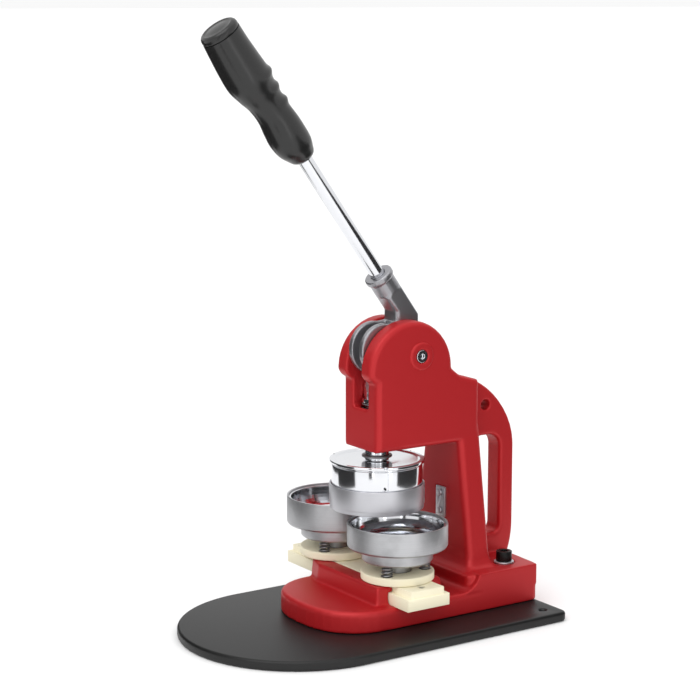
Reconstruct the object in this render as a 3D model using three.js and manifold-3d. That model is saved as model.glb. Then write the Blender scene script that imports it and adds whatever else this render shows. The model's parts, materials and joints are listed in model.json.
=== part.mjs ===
// Button badge maker: a hand lever press with two lower dies on a sliding bar.
// Millimetres, +Z up. The origin is on the underside of the base plate, on the ram's axis.
// The operator stands on the -Y side, and +X is the side that the slider shows its right-hand die.
import * as THREE from 'three';
import { mergeVertices } from 'three/addons/utils/BufferGeometryUtils.js';
import Module from 'manifold-3d';

const wasm = await Module();
wasm.setup();

// ---------- driving dimensions ----------
const GAP = 0.3;                 // clearance between pieces that touch
const RUN = 0.4;                 // clearance between pieces that slide or turn

const plateHalfWidth = 95.8;     // base plate, with a half-round nose
const plateNoseY = -74.2;
const plateThickness = 8;
const plateEdge = 3;
const plateCorner = 7;
const plateRearMargin = 0.5;     // plate behind the foot
const plateHoleR = 2.6;
const plateHoleInset = 15;

const footHalfWidth = 57.2;      // foot of the casting
const footNoseY = -27;         // nose, a squarish half oval
const footNoseDepth = 49;
const footNosePower = 2.4;
const footRearBulge = 2.5;
const footTail = 3.2;            // foot behind the hand opening
const footEdge = 3.5;
const footCorner = 5;
const platformZ = 25.5;
const shelfRise = 13.3;
const shelfFilletR = 18;
const railRise = 14.1;
const railWidth = 10.7;
const railRootSpread = 1.5;
const railRightX = 45;           // right end of the rails
const railChamferX = 18.4;       // left front corner of the rails
const railChamferY = 6;

const barHalfDepth = 19.8;       // slider bar, an inverted T
const barFlangeWidth = 4;
const barFlangeHeight = 9.5;
const barSink = 0.6;             // bar's underside below the platform
const barOverhang = 43.4;        // from a die's axis to the end of the bar
const stopInset = 11;
const stopR = 3;
const stopSink = 1.2;            // top of the stop screw below the bar
const sliderRestX = -15.75;      // middle of the bar at rest

const dieR = 40;                 // lower dies
const dieSpacing = 9;            // gap between the two dies
const dieWall = 1.5;
const rightDieHeight = 19.2;
const leftDieHeight = 23.4;
const bowlWall = 1.6;
const bowlDrop = 2;
const bowlFloor = 1.5;
const dieBaseShare = 0.7075;     // base's radius as a share of the ring's
const dieBaseHeight = 11.1;
const discMargin = 0.9;          // nylon disc beyond the base
const discHeight = 6.4;
const springRoom = 8.5;          // between disc and base
const stemR = 11;
const pressTravel = 6;
const springOuterR = 4.6;
const springMargin = 2.6;
const springWireR = 0.8;
const springTurns = 4.5;
const springPocket = 4.4;
const springCount = 3;
const springFirstAngle = -57;

const ringStep = 1.8;            // upper die: guard ring inside the lower die's radius
const ringWall = 1.3;
const ringHeight = 16.3;
const ringOverlap = 1.3;         // ring above the core's underside
const lipHeight = 3.5;
const lipWall = 0.8;
const coreHeight = 18.2;
const flangeThickness = 2.7;
const flangeOverhang = 1.7;      // flange beyond the core
const flangeRimWidth = 4;
const flangeDish = 1.4;
const coreSlotWidth = 5;
const coreSlotDepth = 2;
const coreSlotCount = 3;
const coreSlotFirstAngle = -24;
const guidePinR = 0.9;
const coreScrewR = 3;

const ramR = 9.8;                // ram and its spring
const ramCollarWidth = 2.4;
const ramCollarHeight = 3;
const ramSpringWireR = 0.8;
const ramSpringTurns = 6;
const bushHeight = 6;
const bushWall = 2.6;
const flangeDrop = 8.7;          // from the head's underside to the flange at rest
const retainerRise = 0.9;        // retaining ring above the flange
const retainerWidth = 1.6;
const retainerGrooveDepth = 1.2;

const headBottomZ = 140.3;       // head of the casting, its heights measured from the underside
const headHalfWidth = 24.2;
const headFrontY = -16;
const headRearRise = 49.2;
const shoulderRise = 54.7;
const headEdge = 3.8;
const slotHalfWidth = 10.2;
const slotFloorRise = 33.2;
const earY = 17;
const earRise = 62.7;
const earR = 40;
const chinRise = 63.2;

const columnFrontY = 64;         // column between foot and head
const columnDepth = 22;
const columnTopHalf = 23;
const columnFootHalf = 38;
const columnCorner = 5;
const columnFlare = 14;

const webHalfWidth = 9.3;        // rear web and its hand opening
const windowDepth = 31.5;
const ribDepth = 14.5;
const windowTopDrop = 1.7;
const windowBottomRise = 16.2;
const windowCorner = 11;
const webHoleR = 4.6;
const webHoleOffset = 15.7;
const webHoleRise = 24;

const axleY = 26;                // lever pivot
const axleRise = 74.1;
const axleR = 6;
const hubBushWall = 2.2;
const screwHeadR = 5.1;
const screwHeadHeight = 4.2;
const screwProud = 0.6;
const screwShankR = 3;
const screwReach = 8;
const hubPlay = 0.5;             // hub inside the lever slot, each side
const hubR = 17;
const lobeR = 21;
const crankAngle = 12;           // crank above horizontal when the lever is up, degrees
const crankPinR = 5;
const linkLength = 30;
const linkHalfWidth = 4.2;
const linkEyeR = 8.6;
const wristPinR = 4;
const wristClearance = 2.2;      // room where the linkage is open
const forkPlay = 0.9;            // ram's fork inside the lever slot, each side
const forkHalfDepth = 6.5;
const pinInset = 2;              // blind end of the crank and wrist pins

const leverLean = 36;            // lever's lean from vertical at rest, degrees
const neckR = 10.4;              // round end of the hub's neck, and its collar
const neckLength = 17;
const neckEnd = 67.6;            // along the lever from the pivot
const collarR = 11.8;
const collarLength = 4.5;
const rootDepth = 23.2;          // hub's squared root
const rootMiddle = 2.8;          // root's middle in front of the pivot
const rootHeight = 33;
const rootTilt = 4.1;
const stemHalfDepth = 8.2;       // squared stem between root and neck
const leverAxisOffset = 17.1;    // lever centreline's distance above and behind the pivot
const rodR = 5.8;
const rodSocket = 20;
const gripStart = 115;           // along the lever from the neck's end
const gripLength = 118;
const gripR = 15.6;
const gripInset = 80;
const gripSink = 0.2;            // grip's end below the rod's line, as a share of its radius

const boltInset = 19.2;          // rear bolts, M8
const boltRearInset = 20.7;
const boltR = 4;
const boltHeadR = 6.5;
const boltHeadHeight = 8;
const boltSocketR = 3.4;
const washerR = 8.2;
const washerThickness = 1.6;
const spotDepth = 0.8;
const frontScrewX = 28;
const frontScrewY = -52;
const frontScrewR = 3;
const frontScrewHeadR = 6;

const stripHalfWidth = 6;        // steel strip on the column
const stripRise = 35.8;
const stripLength = 25;
const stripThickness = 2;
const stripProud = 1;
const stripScrewInset = 5;
const stripScrewR = 1.6;
const stripScrewHeadR = 2.9;

// ---------- geometry helpers ----------
const SEG = 32;                  // round facets on large, medium and small pieces
const SEG_M = 20;
const SEG_S = 12;
const rad = THREE.MathUtils.degToRad;
const v2 = (x, y) => new THREE.Vector2(x, y);
const v3 = (x, y, z) => new THREE.Vector3(x, y, z);
const polar = (r, degrees) => [r * Math.cos(rad(degrees)), r * Math.sin(rad(degrees))];

// A closed three.js geometry as a solid.
function solid(geometry) {
  const bare = geometry.clone();
  for (const name of Object.keys(bare.attributes)) {
    if (name !== 'position') bare.deleteAttribute(name);
  }
  const merged = mergeVertices(bare, 1e-4);
  const position = merged.attributes.position;
  const corners = [];
  let volume = 0;
  const [a, b, c] = [v3(), v3(), v3()];
  for (let i = 0; i < merged.index.count; i += 3) {
    const [p, q, r] = [0, 1, 2].map((k) => merged.index.getX(i + k));
    if (p === q || q === r || r === p) continue;
    corners.push([p, q, r]);
    a.fromBufferAttribute(position, p);
    b.fromBufferAttribute(position, q);
    c.fromBufferAttribute(position, r);
    volume += a.dot(b.cross(c));
  }
  const outward = volume > 0 ? corners : corners.map(([p, q, r]) => [p, r, q]);
  return new wasm.Manifold(new wasm.Mesh({
    numProp: 3,
    vertProperties: new Float32Array(position.array),
    triVerts: new Uint32Array(outward.flat()),
  }));
}

// A solid's surface as a three.js geometry.
function surface(body) {
  const mesh = body.getMesh();
  const geometry = new THREE.BufferGeometry();
  const places = new Float32Array(mesh.vertProperties);
  geometry.setAttribute('position', new THREE.BufferAttribute(places, 3));
  geometry.setIndex(new THREE.BufferAttribute(new Uint32Array(mesh.triVerts), 1));
  const flat = geometry.toNonIndexed();
  flat.computeVertexNormals();
  return flat;
}

const join = (...bodies) => bodies.reduce((sum, body) => sum.add(body));
const cut = (body, ...tools) => tools.reduce((rest, tool) => rest.subtract(tool), body);

function box(x0, x1, y0, y1, z0, z1) {
  const geometry = new THREE.BoxGeometry(x1 - x0, y1 - y0, z1 - z0);
  return solid(geometry.translate((x0 + x1) / 2, (y0 + y1) / 2, (z0 + z1) / 2));
}

function post(r, x, y, z0, z1, segments = SEG_M, topR = r) {
  const geometry = new THREE.CylinderGeometry(topR, r, z1 - z0, segments);
  return solid(geometry.rotateX(Math.PI / 2).translate(x, y, (z0 + z1) / 2));
}

// A round bar along X.
function pin(r, y, z, x0, x1, segments = SEG_M) {
  const geometry = new THREE.CylinderGeometry(r, r, x1 - x0, segments);
  return solid(geometry.rotateZ(Math.PI / 2).translate((x0 + x1) / 2, y, z));
}

// A profile of [radius, z] corners turned about a vertical axis at x, y.
function turned(profile, x = 0, y = 0, segments = SEG) {
  const closed = profile[0][0] > 0 || profile[profile.length - 1][0] > 0;
  const corners = (closed ? [...profile, profile[0]] : profile).map(([r, z]) => v2(r, z));
  const geometry = new THREE.LatheGeometry(corners, segments);
  return solid(geometry.rotateX(Math.PI / 2).translate(x, y, 0));
}

// A (y, z) outline run along X between two places, its long edges rounded by edge.
function runAlongX(shape, x0, x1, edge = 0) {
  const options = { depth: x1 - x0 - 2 * edge, curveSegments: 10, bevelEnabled: edge > 0,
    bevelSize: edge, bevelOffset: -edge, bevelThickness: edge, bevelSegments: 2 };
  const geometry = new THREE.ExtrudeGeometry(shape, options);
  geometry.translate(0, 0, x0 + edge);
  const turn = new THREE.Matrix4().makeBasis(v3(0, 1, 0), v3(0, 0, 1), v3(1, 0, 0));
  return solid(geometry.applyMatrix4(turn));
}

// From a to b on one side of the middle plane, lower value first.
const span = (side, a, b) => [side * a, side * b].sort((p, q) => p - q);

const polygon = (corners) => new THREE.Shape(corners.map(([y, z]) => v2(y, z)));

// A skin over rings of equal point count, closed by a fan at each end.
function loft(rings) {
  const count = rings[0].length;
  const middle = (ring) => ring.reduce((sum, p) => sum.add(p), v3()).divideScalar(ring.length);
  const points = [...rings.flat(), middle(rings[0]), middle(rings[rings.length - 1])];
  const last = (rings.length - 1) * count;
  const index = [];
  for (let k = 0; k < count; k++) {
    const next = (k + 1) % count;
    for (let level = 0; level < rings.length - 1; level++) {
      const [low, high] = [level * count, (level + 1) * count];
      index.push(low + k, low + next, high + next, low + k, high + next, high + k);
    }
    index.push(points.length - 2, next, k);
    index.push(points.length - 1, last + k, last + next);
  }
  const geometry = new THREE.BufferGeometry().setFromPoints(points);
  geometry.setIndex(index);
  return solid(geometry);
}

// A closed outline of arcs: [centre x, centre y, radius, first angle, last angle, steps].
function arcOutline(arcs, z) {
  return arcs.flatMap(([x, y, r, from, to, steps]) => Array.from({ length: steps + 1 }, (_, i) => {
    const [dx, dy] = polar(r, from + (to - from) * i / steps);
    return v3(x + dx, y + dy, z);
  }));
}

// A coil of round wire about a vertical axis.
class Helix extends THREE.Curve {
  constructor(r, x, y, z0, z1, turns) {
    super();
    Object.assign(this, { r, x, y, z0, z1, turns });
  }

  getPoint(t, target = v3()) {
    const [dx, dy] = polar(this.r, 360 * this.turns * t);
    return target.set(this.x + dx, this.y + dy, this.z0 + (this.z1 - this.z0) * t);
  }
}

function coil(outerR, wireR, x, y, z0, z1, turns, stepsPerTurn = 8, wireSides = 5) {
  const section = polygon(Array.from({ length: wireSides }, (_, i) => polar(wireR, 360 * i / wireSides)));
  const path = new Helix(outerR - wireR, x, y, z0 + wireR * 1.3, z1 - wireR * 1.3, turns);
  const options = { steps: Math.round(turns * stepsPerTurn), extrudePath: path };
  return solid(new THREE.ExtrudeGeometry(section, options));
}

// ---------- finishes ----------
const FINISH = {
  redPaint: [0xa80e12, 0.22, 0.0],
  blackPaint: [0x0d0d0e, 0.16, 0.0],
  blackPlastic: [0x141414, 0.35, 0.0],
  blackOxide: [0x1a1a1b, 0.45, 0.7],
  nylon: [0xf4ecd0, 0.5, 0.0],
  castAluminium: [0x9a9b9e, 0.42, 0.9],
  chrome: [0xe4e6ea, 0.08, 1.0],
  turnedSteel: [0xc6c7cc, 0.3, 1.0],
  springSteel: [0x8e8f92, 0.3, 1.0],
  bronze: [0xb08848, 0.35, 1.0],
};

const machine = new THREE.Group();
function add(name, finish, body) {
  const [color, roughness, metalness] = FINISH[finish];
  const material = new THREE.MeshStandardMaterial({ color, roughness, metalness });
  const mesh = new THREE.Mesh(surface(body), material);
  mesh.name = name;
  machine.add(mesh);
}

// ---------- places worked out from the driving dimensions ----------
const footBottomZ = plateThickness + GAP;
const shelfZ = platformZ + shelfRise;
const railTopZ = platformZ + railRise;
const railHalfDepth = barHalfDepth + railWidth;
const barNeckHalfDepth = barHalfDepth - barFlangeWidth;
const barBottomZ = platformZ - barSink;
const barShoulderZ = barBottomZ + barFlangeHeight;

const barTopZ = railTopZ + RUN - GAP;
const diePitch = 2 * dieR + dieSpacing;
const rightDieX = sliderRestX + diePitch / 2;
const leftDieX = sliderRestX - diePitch / 2;
const discBottomZ = railTopZ + RUN;
const discTopZ = discBottomZ + discHeight;
const dieBaseBottomZ = discTopZ + springRoom;
const dieFloorZ = dieBaseBottomZ + dieBaseHeight;
const annulusTopZ = dieFloorZ + 1;
const dieBaseR = dieR * dieBaseShare;
const discR = dieBaseR + discMargin;
const springPitchR = discR - springOuterR - springMargin;
const springAngles = Array.from({ length: springCount }, (_, i) => springFirstAngle + i * 360 / springCount);

const flangeTopZ = headBottomZ - flangeDrop;
const flangeBottomZ = flangeTopZ - flangeThickness;
const coreBottomZ = flangeBottomZ - coreHeight;
const ringTopZ = coreBottomZ + ringOverlap;
const ringBottomZ = ringTopZ - ringHeight;
const lipBottomZ = ringBottomZ - lipHeight;
const ringR = dieR - ringStep;
const ringBoreR = ringR - ringWall;
const coreR = ringBoreR - RUN;
const slotAngles = Array.from({ length: coreSlotCount },
  (_, i) => coreSlotFirstAngle + i * 360 / coreSlotCount);
const retainerZ = flangeTopZ + retainerRise;

const columnRearY = columnFrontY + columnDepth;
const ribInnerY = columnRearY + windowDepth;
const ribOuterY = ribInnerY + ribDepth;
const footRearY = ribInnerY + footTail;
const plateRearY = footRearY + plateRearMargin;
const headRearY = columnRearY - 2;
const headRearTopZ = headBottomZ + headRearRise;
const slotRearY = columnFrontY - 17.5;
const slotFloorZ = headBottomZ + slotFloorRise;
const earZ = headBottomZ + earRise;
const boltX = footHalfWidth - boltInset;
const boltY = footRearY - boltRearInset;
const spotZ = shelfZ - spotDepth;

const axleZ = headBottomZ + axleRise;
const axleEnd = headHalfWidth - screwHeadHeight + screwProud - GAP;
const hubHalfWidth = slotHalfWidth - hubPlay;
const forkHalfWidth = slotHalfWidth - forkPlay;
const hubBoreR = axleR + hubBushWall + 2 * GAP;
const crankR = axleY / Math.cos(rad(crankAngle));
const crankZ = axleZ + crankR * Math.sin(rad(crankAngle));
const wristZ = crankZ - linkLength;
const forkFloorZ = wristZ - linkEyeR - 1;
const collarBottomZ = forkFloorZ - ramCollarHeight;
const ramCollarR = ramR + ramCollarWidth;
const springSeatZ = headBottomZ + bushHeight;
const coreScrewBoreR = coreScrewR + GAP;

const stripBottomZ = shelfZ + stripRise;
const stripTopZ = stripBottomZ + stripLength;
const stripFaceY = columnFrontY + stripProud - stripThickness;

// Lever frame: along runs up the lever, across is its in-plane normal pointing up and back.
const along = v3(0, -Math.sin(rad(leverLean)), Math.cos(rad(leverLean)));
const across = v3(0, Math.cos(rad(leverLean)), Math.sin(rad(leverLean)));
const leverPoint = (s, n = 0, x = 0) => v3(x, axleY, axleZ)
  .addScaledVector(along, s).addScaledVector(across, n + leverAxisOffset);

function leverRing(s, n, rx, rn, power, count = 20) {
  return Array.from({ length: count }, (_, i) => {
    const [c, w] = polar(1, 360 * i / count);
    const bulge = (t) => Math.sign(t) * Math.abs(t) ** (2 / power);
    return leverPoint(s, n + rn * bulge(w), rx * bulge(c));
  });
}

const leverRod = (r, s0, s1, segments) => {
  const ends = [s0, s1].map((s) => leverRing(s, 0, r, r, 2, segments));
  return loft(ends);
};

// Inset and drop at steps round an edge of radius r.
const edgeRound = (r) => [0, 30, 60, 90].map((t) => [r * (1 - Math.cos(rad(t))), r * (1 - Math.sin(rad(t)))]);

// ---------- base plate ----------
function plateOutline(inset, z) {
  const [half, corner] = [plateHalfWidth - inset, plateCorner - inset];
  const [cornerX, cornerY] = [plateHalfWidth - plateCorner, plateRearY - plateCorner];
  return arcOutline([[0, plateNoseY, half, 180, 360, 28],
    [cornerX, cornerY, corner, 0, 90, 4], [-cornerX, cornerY, corner, 90, 180, 4]], z);
}

function basePlate() {
  const levels = edgeRound(plateEdge).map(([inset, drop]) => plateOutline(inset, plateThickness - drop));
  let plate = loft([plateOutline(1, 0), plateOutline(0, 1), ...levels]);
  for (const side of [-1, 1]) {
    const [holeX, holeY] = [side * (plateHalfWidth - plateHoleInset), plateRearY - plateHoleInset];
    plate = cut(plate, post(plateHoleR, holeX, holeY, -1, plateThickness + 1, SEG_S),
      post(boltR + GAP, side * boltX, boltY, 1.5, plateThickness + 1, SEG_S),
      ...frontScrewTools(side, GAP));
  }
  return plate;
}

function frontScrewTools(side, clearance) {
  const at = [side * frontScrewX, frontScrewY];
  const headTop = frontScrewHeadR - frontScrewR;
  const flare = frontScrewHeadR + 2 * clearance;
  return [post(flare, ...at, -clearance, headTop + clearance, SEG_S, frontScrewR + clearance),
    post(frontScrewR + clearance, ...at, 0, platformZ - 6 + clearance, SEG_S)];
}

// ---------- body casting ----------
function footOutline(inset, z) {
  const half = footHalfWidth - inset;
  const corner = footCorner;
  const rear = footRearY - inset;
  const bulgeR = (half ** 2 + footRearBulge ** 2) / (2 * footRearBulge);
  const swing = Math.asin((half - corner) / bulgeR) * 180 / Math.PI;
  const bulge = (t) => Math.sign(t) * Math.abs(t) ** (2 / footNosePower);
  const nose = Array.from({ length: 21 }, (_, i) => {
    const [x, y] = polar(1, 180 + 9 * i);
    return v3(half * bulge(x), footNoseY + (footNoseDepth - inset) * bulge(y), z);
  });
  return [...nose, ...arcOutline([[half - corner, rear - corner, corner, 0, 80, 3],
    [0, rear + footRearBulge - bulgeR, bulgeR, 90 - swing, 90 + swing, 6],
    [corner - half, rear - corner, corner, 100, 180, 3]], z)];
}

// Outline of the rails grown by spread, its left front corner cut off.
function railOutline(spread, z) {
  const [left, right, half] = [-footHalfWidth, railRightX + spread, railHalfDepth + spread];
  return [v3(left, railChamferY - half, z), v3(left + railChamferX, -half, z), v3(right, -half, z),
    v3(right, half, z), v3(left, half, z)];
}

function foot() {
  const rounds = edgeRound(footEdge).map(([inset, drop]) => footOutline(inset, platformZ - drop));
  const block = loft([footOutline(0, footBottomZ), ...rounds]);
  const rails = loft([railOutline(railRootSpread, platformZ - 4), railOutline(railRootSpread, platformZ),
    railOutline(0, railTopZ - 1), railOutline(-1, railTopZ)]);
  const shelf = new THREE.Shape();
  const rise = shelfZ - platformZ;
  const swing = Math.acos(1 - rise / shelfFilletR);
  const startY = columnFrontY - 3 - shelfFilletR * Math.sin(swing);
  shelf.moveTo(startY, platformZ - 4);
  shelf.absarc(startY, platformZ + shelfFilletR, shelfFilletR, -Math.PI / 2, swing - Math.PI / 2);
  shelf.lineTo(footRearY - 1, shelfZ);
  shelf.lineTo(footRearY - 1, platformZ - 4);
  const shelfBlock = runAlongX(shelf, -footHalfWidth, footHalfWidth);
  const rearTop = loft([footOutline(0, platformZ - 4), footOutline(0, shelfZ - 1.5),
    footOutline(1.5, shelfZ)]);
  const rear = box(-footHalfWidth, footHalfWidth, columnFrontY, footRearY + 10, 0, shelfZ + 5);
  const rearHalf = rearTop.intersect(rear);
  return join(block, rails, shelfBlock, rearHalf);
}

function columnSection(z, half, frontY, rearY) {
  const [x, c] = [half - columnCorner, columnCorner];
  return arcOutline([[-x, frontY + c, c, 180, 270, 4], [x, frontY + c, c, 270, 360, 4],
    [x, rearY - c, c, 0, 90, 4], [-x, rearY - c, c, 90, 180, 4]], z);
}

function column() {
  const spreadSection = (z, spread) => columnSection(z, columnFootHalf + spread,
    columnFrontY - spread * 0.8, columnRearY + spread * 0.3);
  const rings = [0, 22.5, 45, 67.5, 90].map((t) => {
    const z = shelfZ - 2 + columnFlare * (1 - Math.cos(rad(t)));
    return spreadSection(z, columnFlare * (1 - Math.sin(rad(t))));
  });
  const top = columnSection(headBottomZ + 12, columnTopHalf, columnFrontY, columnRearY);
  return loft([spreadSection(platformZ, columnFlare), ...rings, top]);
}

function head() {
  const chinZ = headBottomZ + chinRise;
  const chinAngle = Math.PI + Math.asin((earZ - chinZ) / earR);
  const rearAngle = -0.03;
  const shape = new THREE.Shape();
  shape.moveTo(headFrontY, headBottomZ);
  shape.lineTo(headRearY, headBottomZ);
  shape.lineTo(headRearY, headRearTopZ);
  shape.lineTo(columnFrontY + 1.5, headBottomZ + shoulderRise);
  shape.absarc(earY, earZ, earR, rearAngle, chinAngle);
  const chinY = earY + earR * Math.cos(chinAngle);
  shape.quadraticCurveTo(chinY + 1.5, chinZ - 6, headFrontY, chinZ - 7.5);
  return runAlongX(shape, -headHalfWidth, headHalfWidth, headEdge);
}

function rearWeb() {
  const shape = new THREE.Shape();
  shape.moveTo(columnRearY - 14, platformZ);
  shape.lineTo(footRearY + 1, platformZ);
  const windowTopZ = headBottomZ - windowTopDrop;
  const windowBottomZ = shelfZ + windowBottomRise;
  shape.quadraticCurveTo(ribOuterY, shelfZ + 3, ribOuterY, windowBottomZ + 8);
  shape.lineTo(ribOuterY, windowTopZ - 9);
  const top = headRearTopZ - 0.8;
  shape.bezierCurveTo(ribOuterY - 1, top - 33, ribOuterY - 24, top - 7, headRearY, top);
  shape.lineTo(columnRearY - 14, top);
  const corner = windowCorner;
  const hole = new THREE.Path();
  const [y0, y1] = [columnRearY - 4, ribInnerY];
  hole.moveTo(y0, windowBottomZ + 2);
  hole.lineTo(y0, windowTopZ - corner);
  hole.absarc(y0 + corner + 6, windowTopZ - corner, corner, Math.PI, Math.PI / 2, true);
  hole.absarc(y1 - corner, windowTopZ - corner, corner, Math.PI / 2, 0, true);
  hole.absarc(y1 - 6, windowBottomZ + 6, 6, 0, -Math.PI / 2, true);
  hole.lineTo(y0 + 2, windowBottomZ);
  shape.holes.push(hole);
  return runAlongX(shape, -webHalfWidth, webHalfWidth, 2.5);
}

function bodyCasting() {
  const slot = box(-slotHalfWidth, slotHalfWidth, headFrontY - 15, slotRearY, slotFloorZ, earZ + earR + 10);
  const springBoreR = ramCollarR + RUN;
  const bushR = ramR + RUN + bushWall + GAP;
  const reach = footHalfWidth + 5;
  const barSlot = join(
    box(-reach, reach, -barHalfDepth - RUN, barHalfDepth + RUN, barBottomZ - RUN, barShoulderZ + RUN),
    box(-reach, reach, -barNeckHalfDepth - RUN, barNeckHalfDepth + RUN, barShoulderZ, railTopZ + 5));
  const sides = [-1, 1].flatMap((side) => {
    const screwSeat = span(side, axleEnd + GAP, headHalfWidth + 5);
    return [post(boltR + GAP, side * boltX, boltY, 0, shelfZ + 5, SEG_S),
      post(washerR + 1, side * boltX, boltY, spotZ, shelfZ + 12, SEG_M),
      pin(screwHeadR + GAP, axleY, axleZ, ...screwSeat),
      frontScrewTools(side, GAP)[1]];
  });
  const stripX = stripHalfWidth + GAP;
  const stripRearY = columnFrontY + stripProud + GAP;
  const strip = box(-stripX, stripX, columnFrontY - 5, stripRearY, stripBottomZ - GAP, stripTopZ + GAP);
  const stripScrewHoles = stripScrewPlaces()
    .map((z) => alongY(stripScrewR + GAP, z, columnFrontY, columnFrontY + 9));
  const webHole = pin(webHoleR, columnRearY + webHoleOffset, headBottomZ + webHoleRise,
    -webHalfWidth - 5, webHalfWidth + 5, SEG_S);
  return cut(join(foot(), column(), head(), rearWeb()), slot, barSlot, webHole,
    post(springBoreR, 0, 0, springSeatZ, forkFloorZ + 2),
    post(bushR, 0, 0, headBottomZ - 5, springSeatZ + 1),
    pin(axleR + GAP, axleY, axleZ, -headHalfWidth - 1, headHalfWidth + 1),
    strip, ...stripScrewHoles, ...sides);
}

// ---------- fixings ----------
function rearBolt(side) {
  const seat = spotZ + washerThickness + 2 * GAP;
  const [x, y] = [side * boltX, boltY];
  const body = join(post(boltR, x, y, 2, seat + 1, SEG_S),
    post(boltHeadR, x, y, seat, seat + boltHeadHeight));
  return cut(body, post(boltSocketR, x, y, seat + boltHeadHeight / 2, seat + boltHeadHeight + 1, 6));
}

function rearWasher(side) {
  const low = spotZ + GAP;
  return cut(post(washerR, side * boltX, boltY, low, low + washerThickness),
    post(boltR + GAP, side * boltX, boltY, low - 1, low + 4, SEG_S));
}

function frontScrew(side) {
  const body = join(...frontScrewTools(side, 0));
  return cut(body, post(2.2, side * frontScrewX, frontScrewY, -1, 1.8, 6));
}

// A round bar along Y at height z on the middle plane.
function alongY(r, z, y0, y1) {
  const geometry = new THREE.CylinderGeometry(r, r, y1 - y0, SEG_S);
  return solid(geometry.translate(0, (y0 + y1) / 2, z));
}

function stripScrewPlaces() {
  return [stripBottomZ + stripScrewInset, stripTopZ - stripScrewInset];
}

function guideStrip() {
  const backY = stripFaceY + stripThickness;
  const blank = box(-stripHalfWidth, stripHalfWidth, stripFaceY, backY, stripBottomZ, stripTopZ);
  const holes = stripScrewPlaces().map((z) => alongY(stripScrewR + GAP, z, stripFaceY - 1, stripFaceY + 5));
  return cut(blank, ...holes);
}

function stripScrew(z) {
  const headY = stripFaceY - GAP;
  const shank = alongY(stripScrewR, z, headY - 0.5, columnFrontY + 8);
  return join(shank, alongY(stripScrewHeadR, z, headY - 1.4, headY));
}

// ---------- lever pivot ----------
function hubBush() {
  return cut(pin(axleR + hubBushWall + GAP, axleY, axleZ, -hubHalfWidth, hubHalfWidth),
    pin(axleR + GAP, axleY, axleZ, -hubHalfWidth - 1, hubHalfWidth + 1));
}

function pivotAxle() {
  const bores = [-1, 1].map((side) => pin(screwShankR + GAP, axleY, axleZ,
    ...span(side, axleEnd - screwReach - 1, axleEnd + 1), SEG_S));
  return cut(pin(axleR, axleY, axleZ, -axleEnd, axleEnd), ...bores);
}

function axleScrew(side) {
  const seat = axleEnd + GAP * 2;
  const body = join(pin(screwHeadR, axleY, axleZ, ...span(side, seat, seat + screwHeadHeight)),
    pin(screwShankR, axleY, axleZ, ...span(side, seat - screwReach, seat + 1), SEG_S));
  return cut(body, pin(screwHeadR * 0.45, axleY, axleZ, ...span(side, seat + 1.8, seat + 6), 6));
}

// ---------- lever ----------
function rootRing(z, tilt, count = 20) {
  const [middle, half] = [axleY - rootMiddle, rootDepth / 2];
  return Array.from({ length: count }, (_, i) => {
    const [c, w] = polar(1, 360 * i / count);
    const bulge = (t) => Math.sign(t) * Math.abs(t) ** (1 / 3);
    return v3(hubHalfWidth * bulge(c), middle + half * bulge(w), z - tilt / 2 * bulge(w));
  });
}

function leverHub() {
  const neckStart = neckEnd - neckLength;
  const stem = loft([rootRing(axleZ, 0), rootRing(axleZ + rootHeight, rootTilt),
    leverRing(neckStart - 0.5, 0, hubHalfWidth, stemHalfDepth, 6),
    leverRing(neckStart, 0, neckR, neckR, 2)]);
  const neck = loft([[neckStart - 0.2, neckR], [neckEnd - collarLength - 0.8, neckR],
    [neckEnd - collarLength, collarR], [neckEnd - 0.6, collarR], [neckEnd, collarR - 0.6],
  ].map(([along, r]) => leverRing(along, 0, r, r, 2)));
  const lobeY = axleY - Math.cos(rad(crankAngle)) * crankR;
  const bridge = runAlongX(polygon([[lobeY, crankZ], [axleY, axleZ - hubR + 2], [axleY + 15, axleZ],
    [axleY + 8, axleZ + 20], [axleY - 8, axleZ + 27], [axleY - 20, axleZ + 26]]), -hubHalfWidth, hubHalfWidth);
  const body = join(pin(hubR, axleY, axleZ, -hubHalfWidth, hubHalfWidth, SEG),
    pin(lobeR, lobeY, crankZ, -hubHalfWidth, hubHalfWidth, SEG), bridge, stem, neck);
  const fork = linkHalfWidth + RUN;
  return cut(body, pin(hubBoreR, axleY, axleZ, -hubHalfWidth - 5, hubHalfWidth + 5),
    box(-fork, fork, -40, linkEyeR + 2, crankZ - 40, crankZ + lobeR + 1),
    pin(crankPinR + GAP, 0, crankZ, -hubHalfWidth + pinInset, hubHalfWidth + 5),
    leverRod(rodR + GAP, neckEnd - rodSocket, neckEnd + 5, SEG_M));
}

function grip() {
  // Radius and centre offset along the grip, as shares of its length and radius.
  const stations = [[0, 0.42, 0], [0.015, 0.6, 0], [0.05, 0.74, -0.03], [0.11, 0.92, -0.08],
    [0.2, 0.99, -0.12], [0.28, 0.96, -0.1], [0.38, 0.88, -0.08], [0.48, 0.9, -0.12], [0.56, 1.0, -0.2],
    [0.66, 1.13, -0.25],
    [0.78, 1.1, -0.26], [0.9, 1.04, -0.24], [1, 1.0, -gripSink]];
  const rings = stations.map(([t, r, shift]) => leverRing(neckEnd + gripStart + gripLength * t,
    gripR * shift, gripR * r * 0.95, gripR * r, 2.1));
  const ridges = [0.42, 0.53, 0.64].map((t) => {
    const at = leverPoint(neckEnd + gripStart + gripLength * t, gripR * 0.72);
    const bead = new THREE.SphereGeometry(gripR * 0.33, 12, 8);
    bead.scale(2.2, 1, 0.62);
    bead.rotateX(rad(leverLean));
    return solid(bead.translate(at.x, at.y, at.z));
  });
  return cut(join(loft(rings), ...ridges),
    leverRod(rodR + GAP, neckEnd + gripStart - 5, neckEnd + gripStart + gripInset, SEG_M));
}

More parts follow.
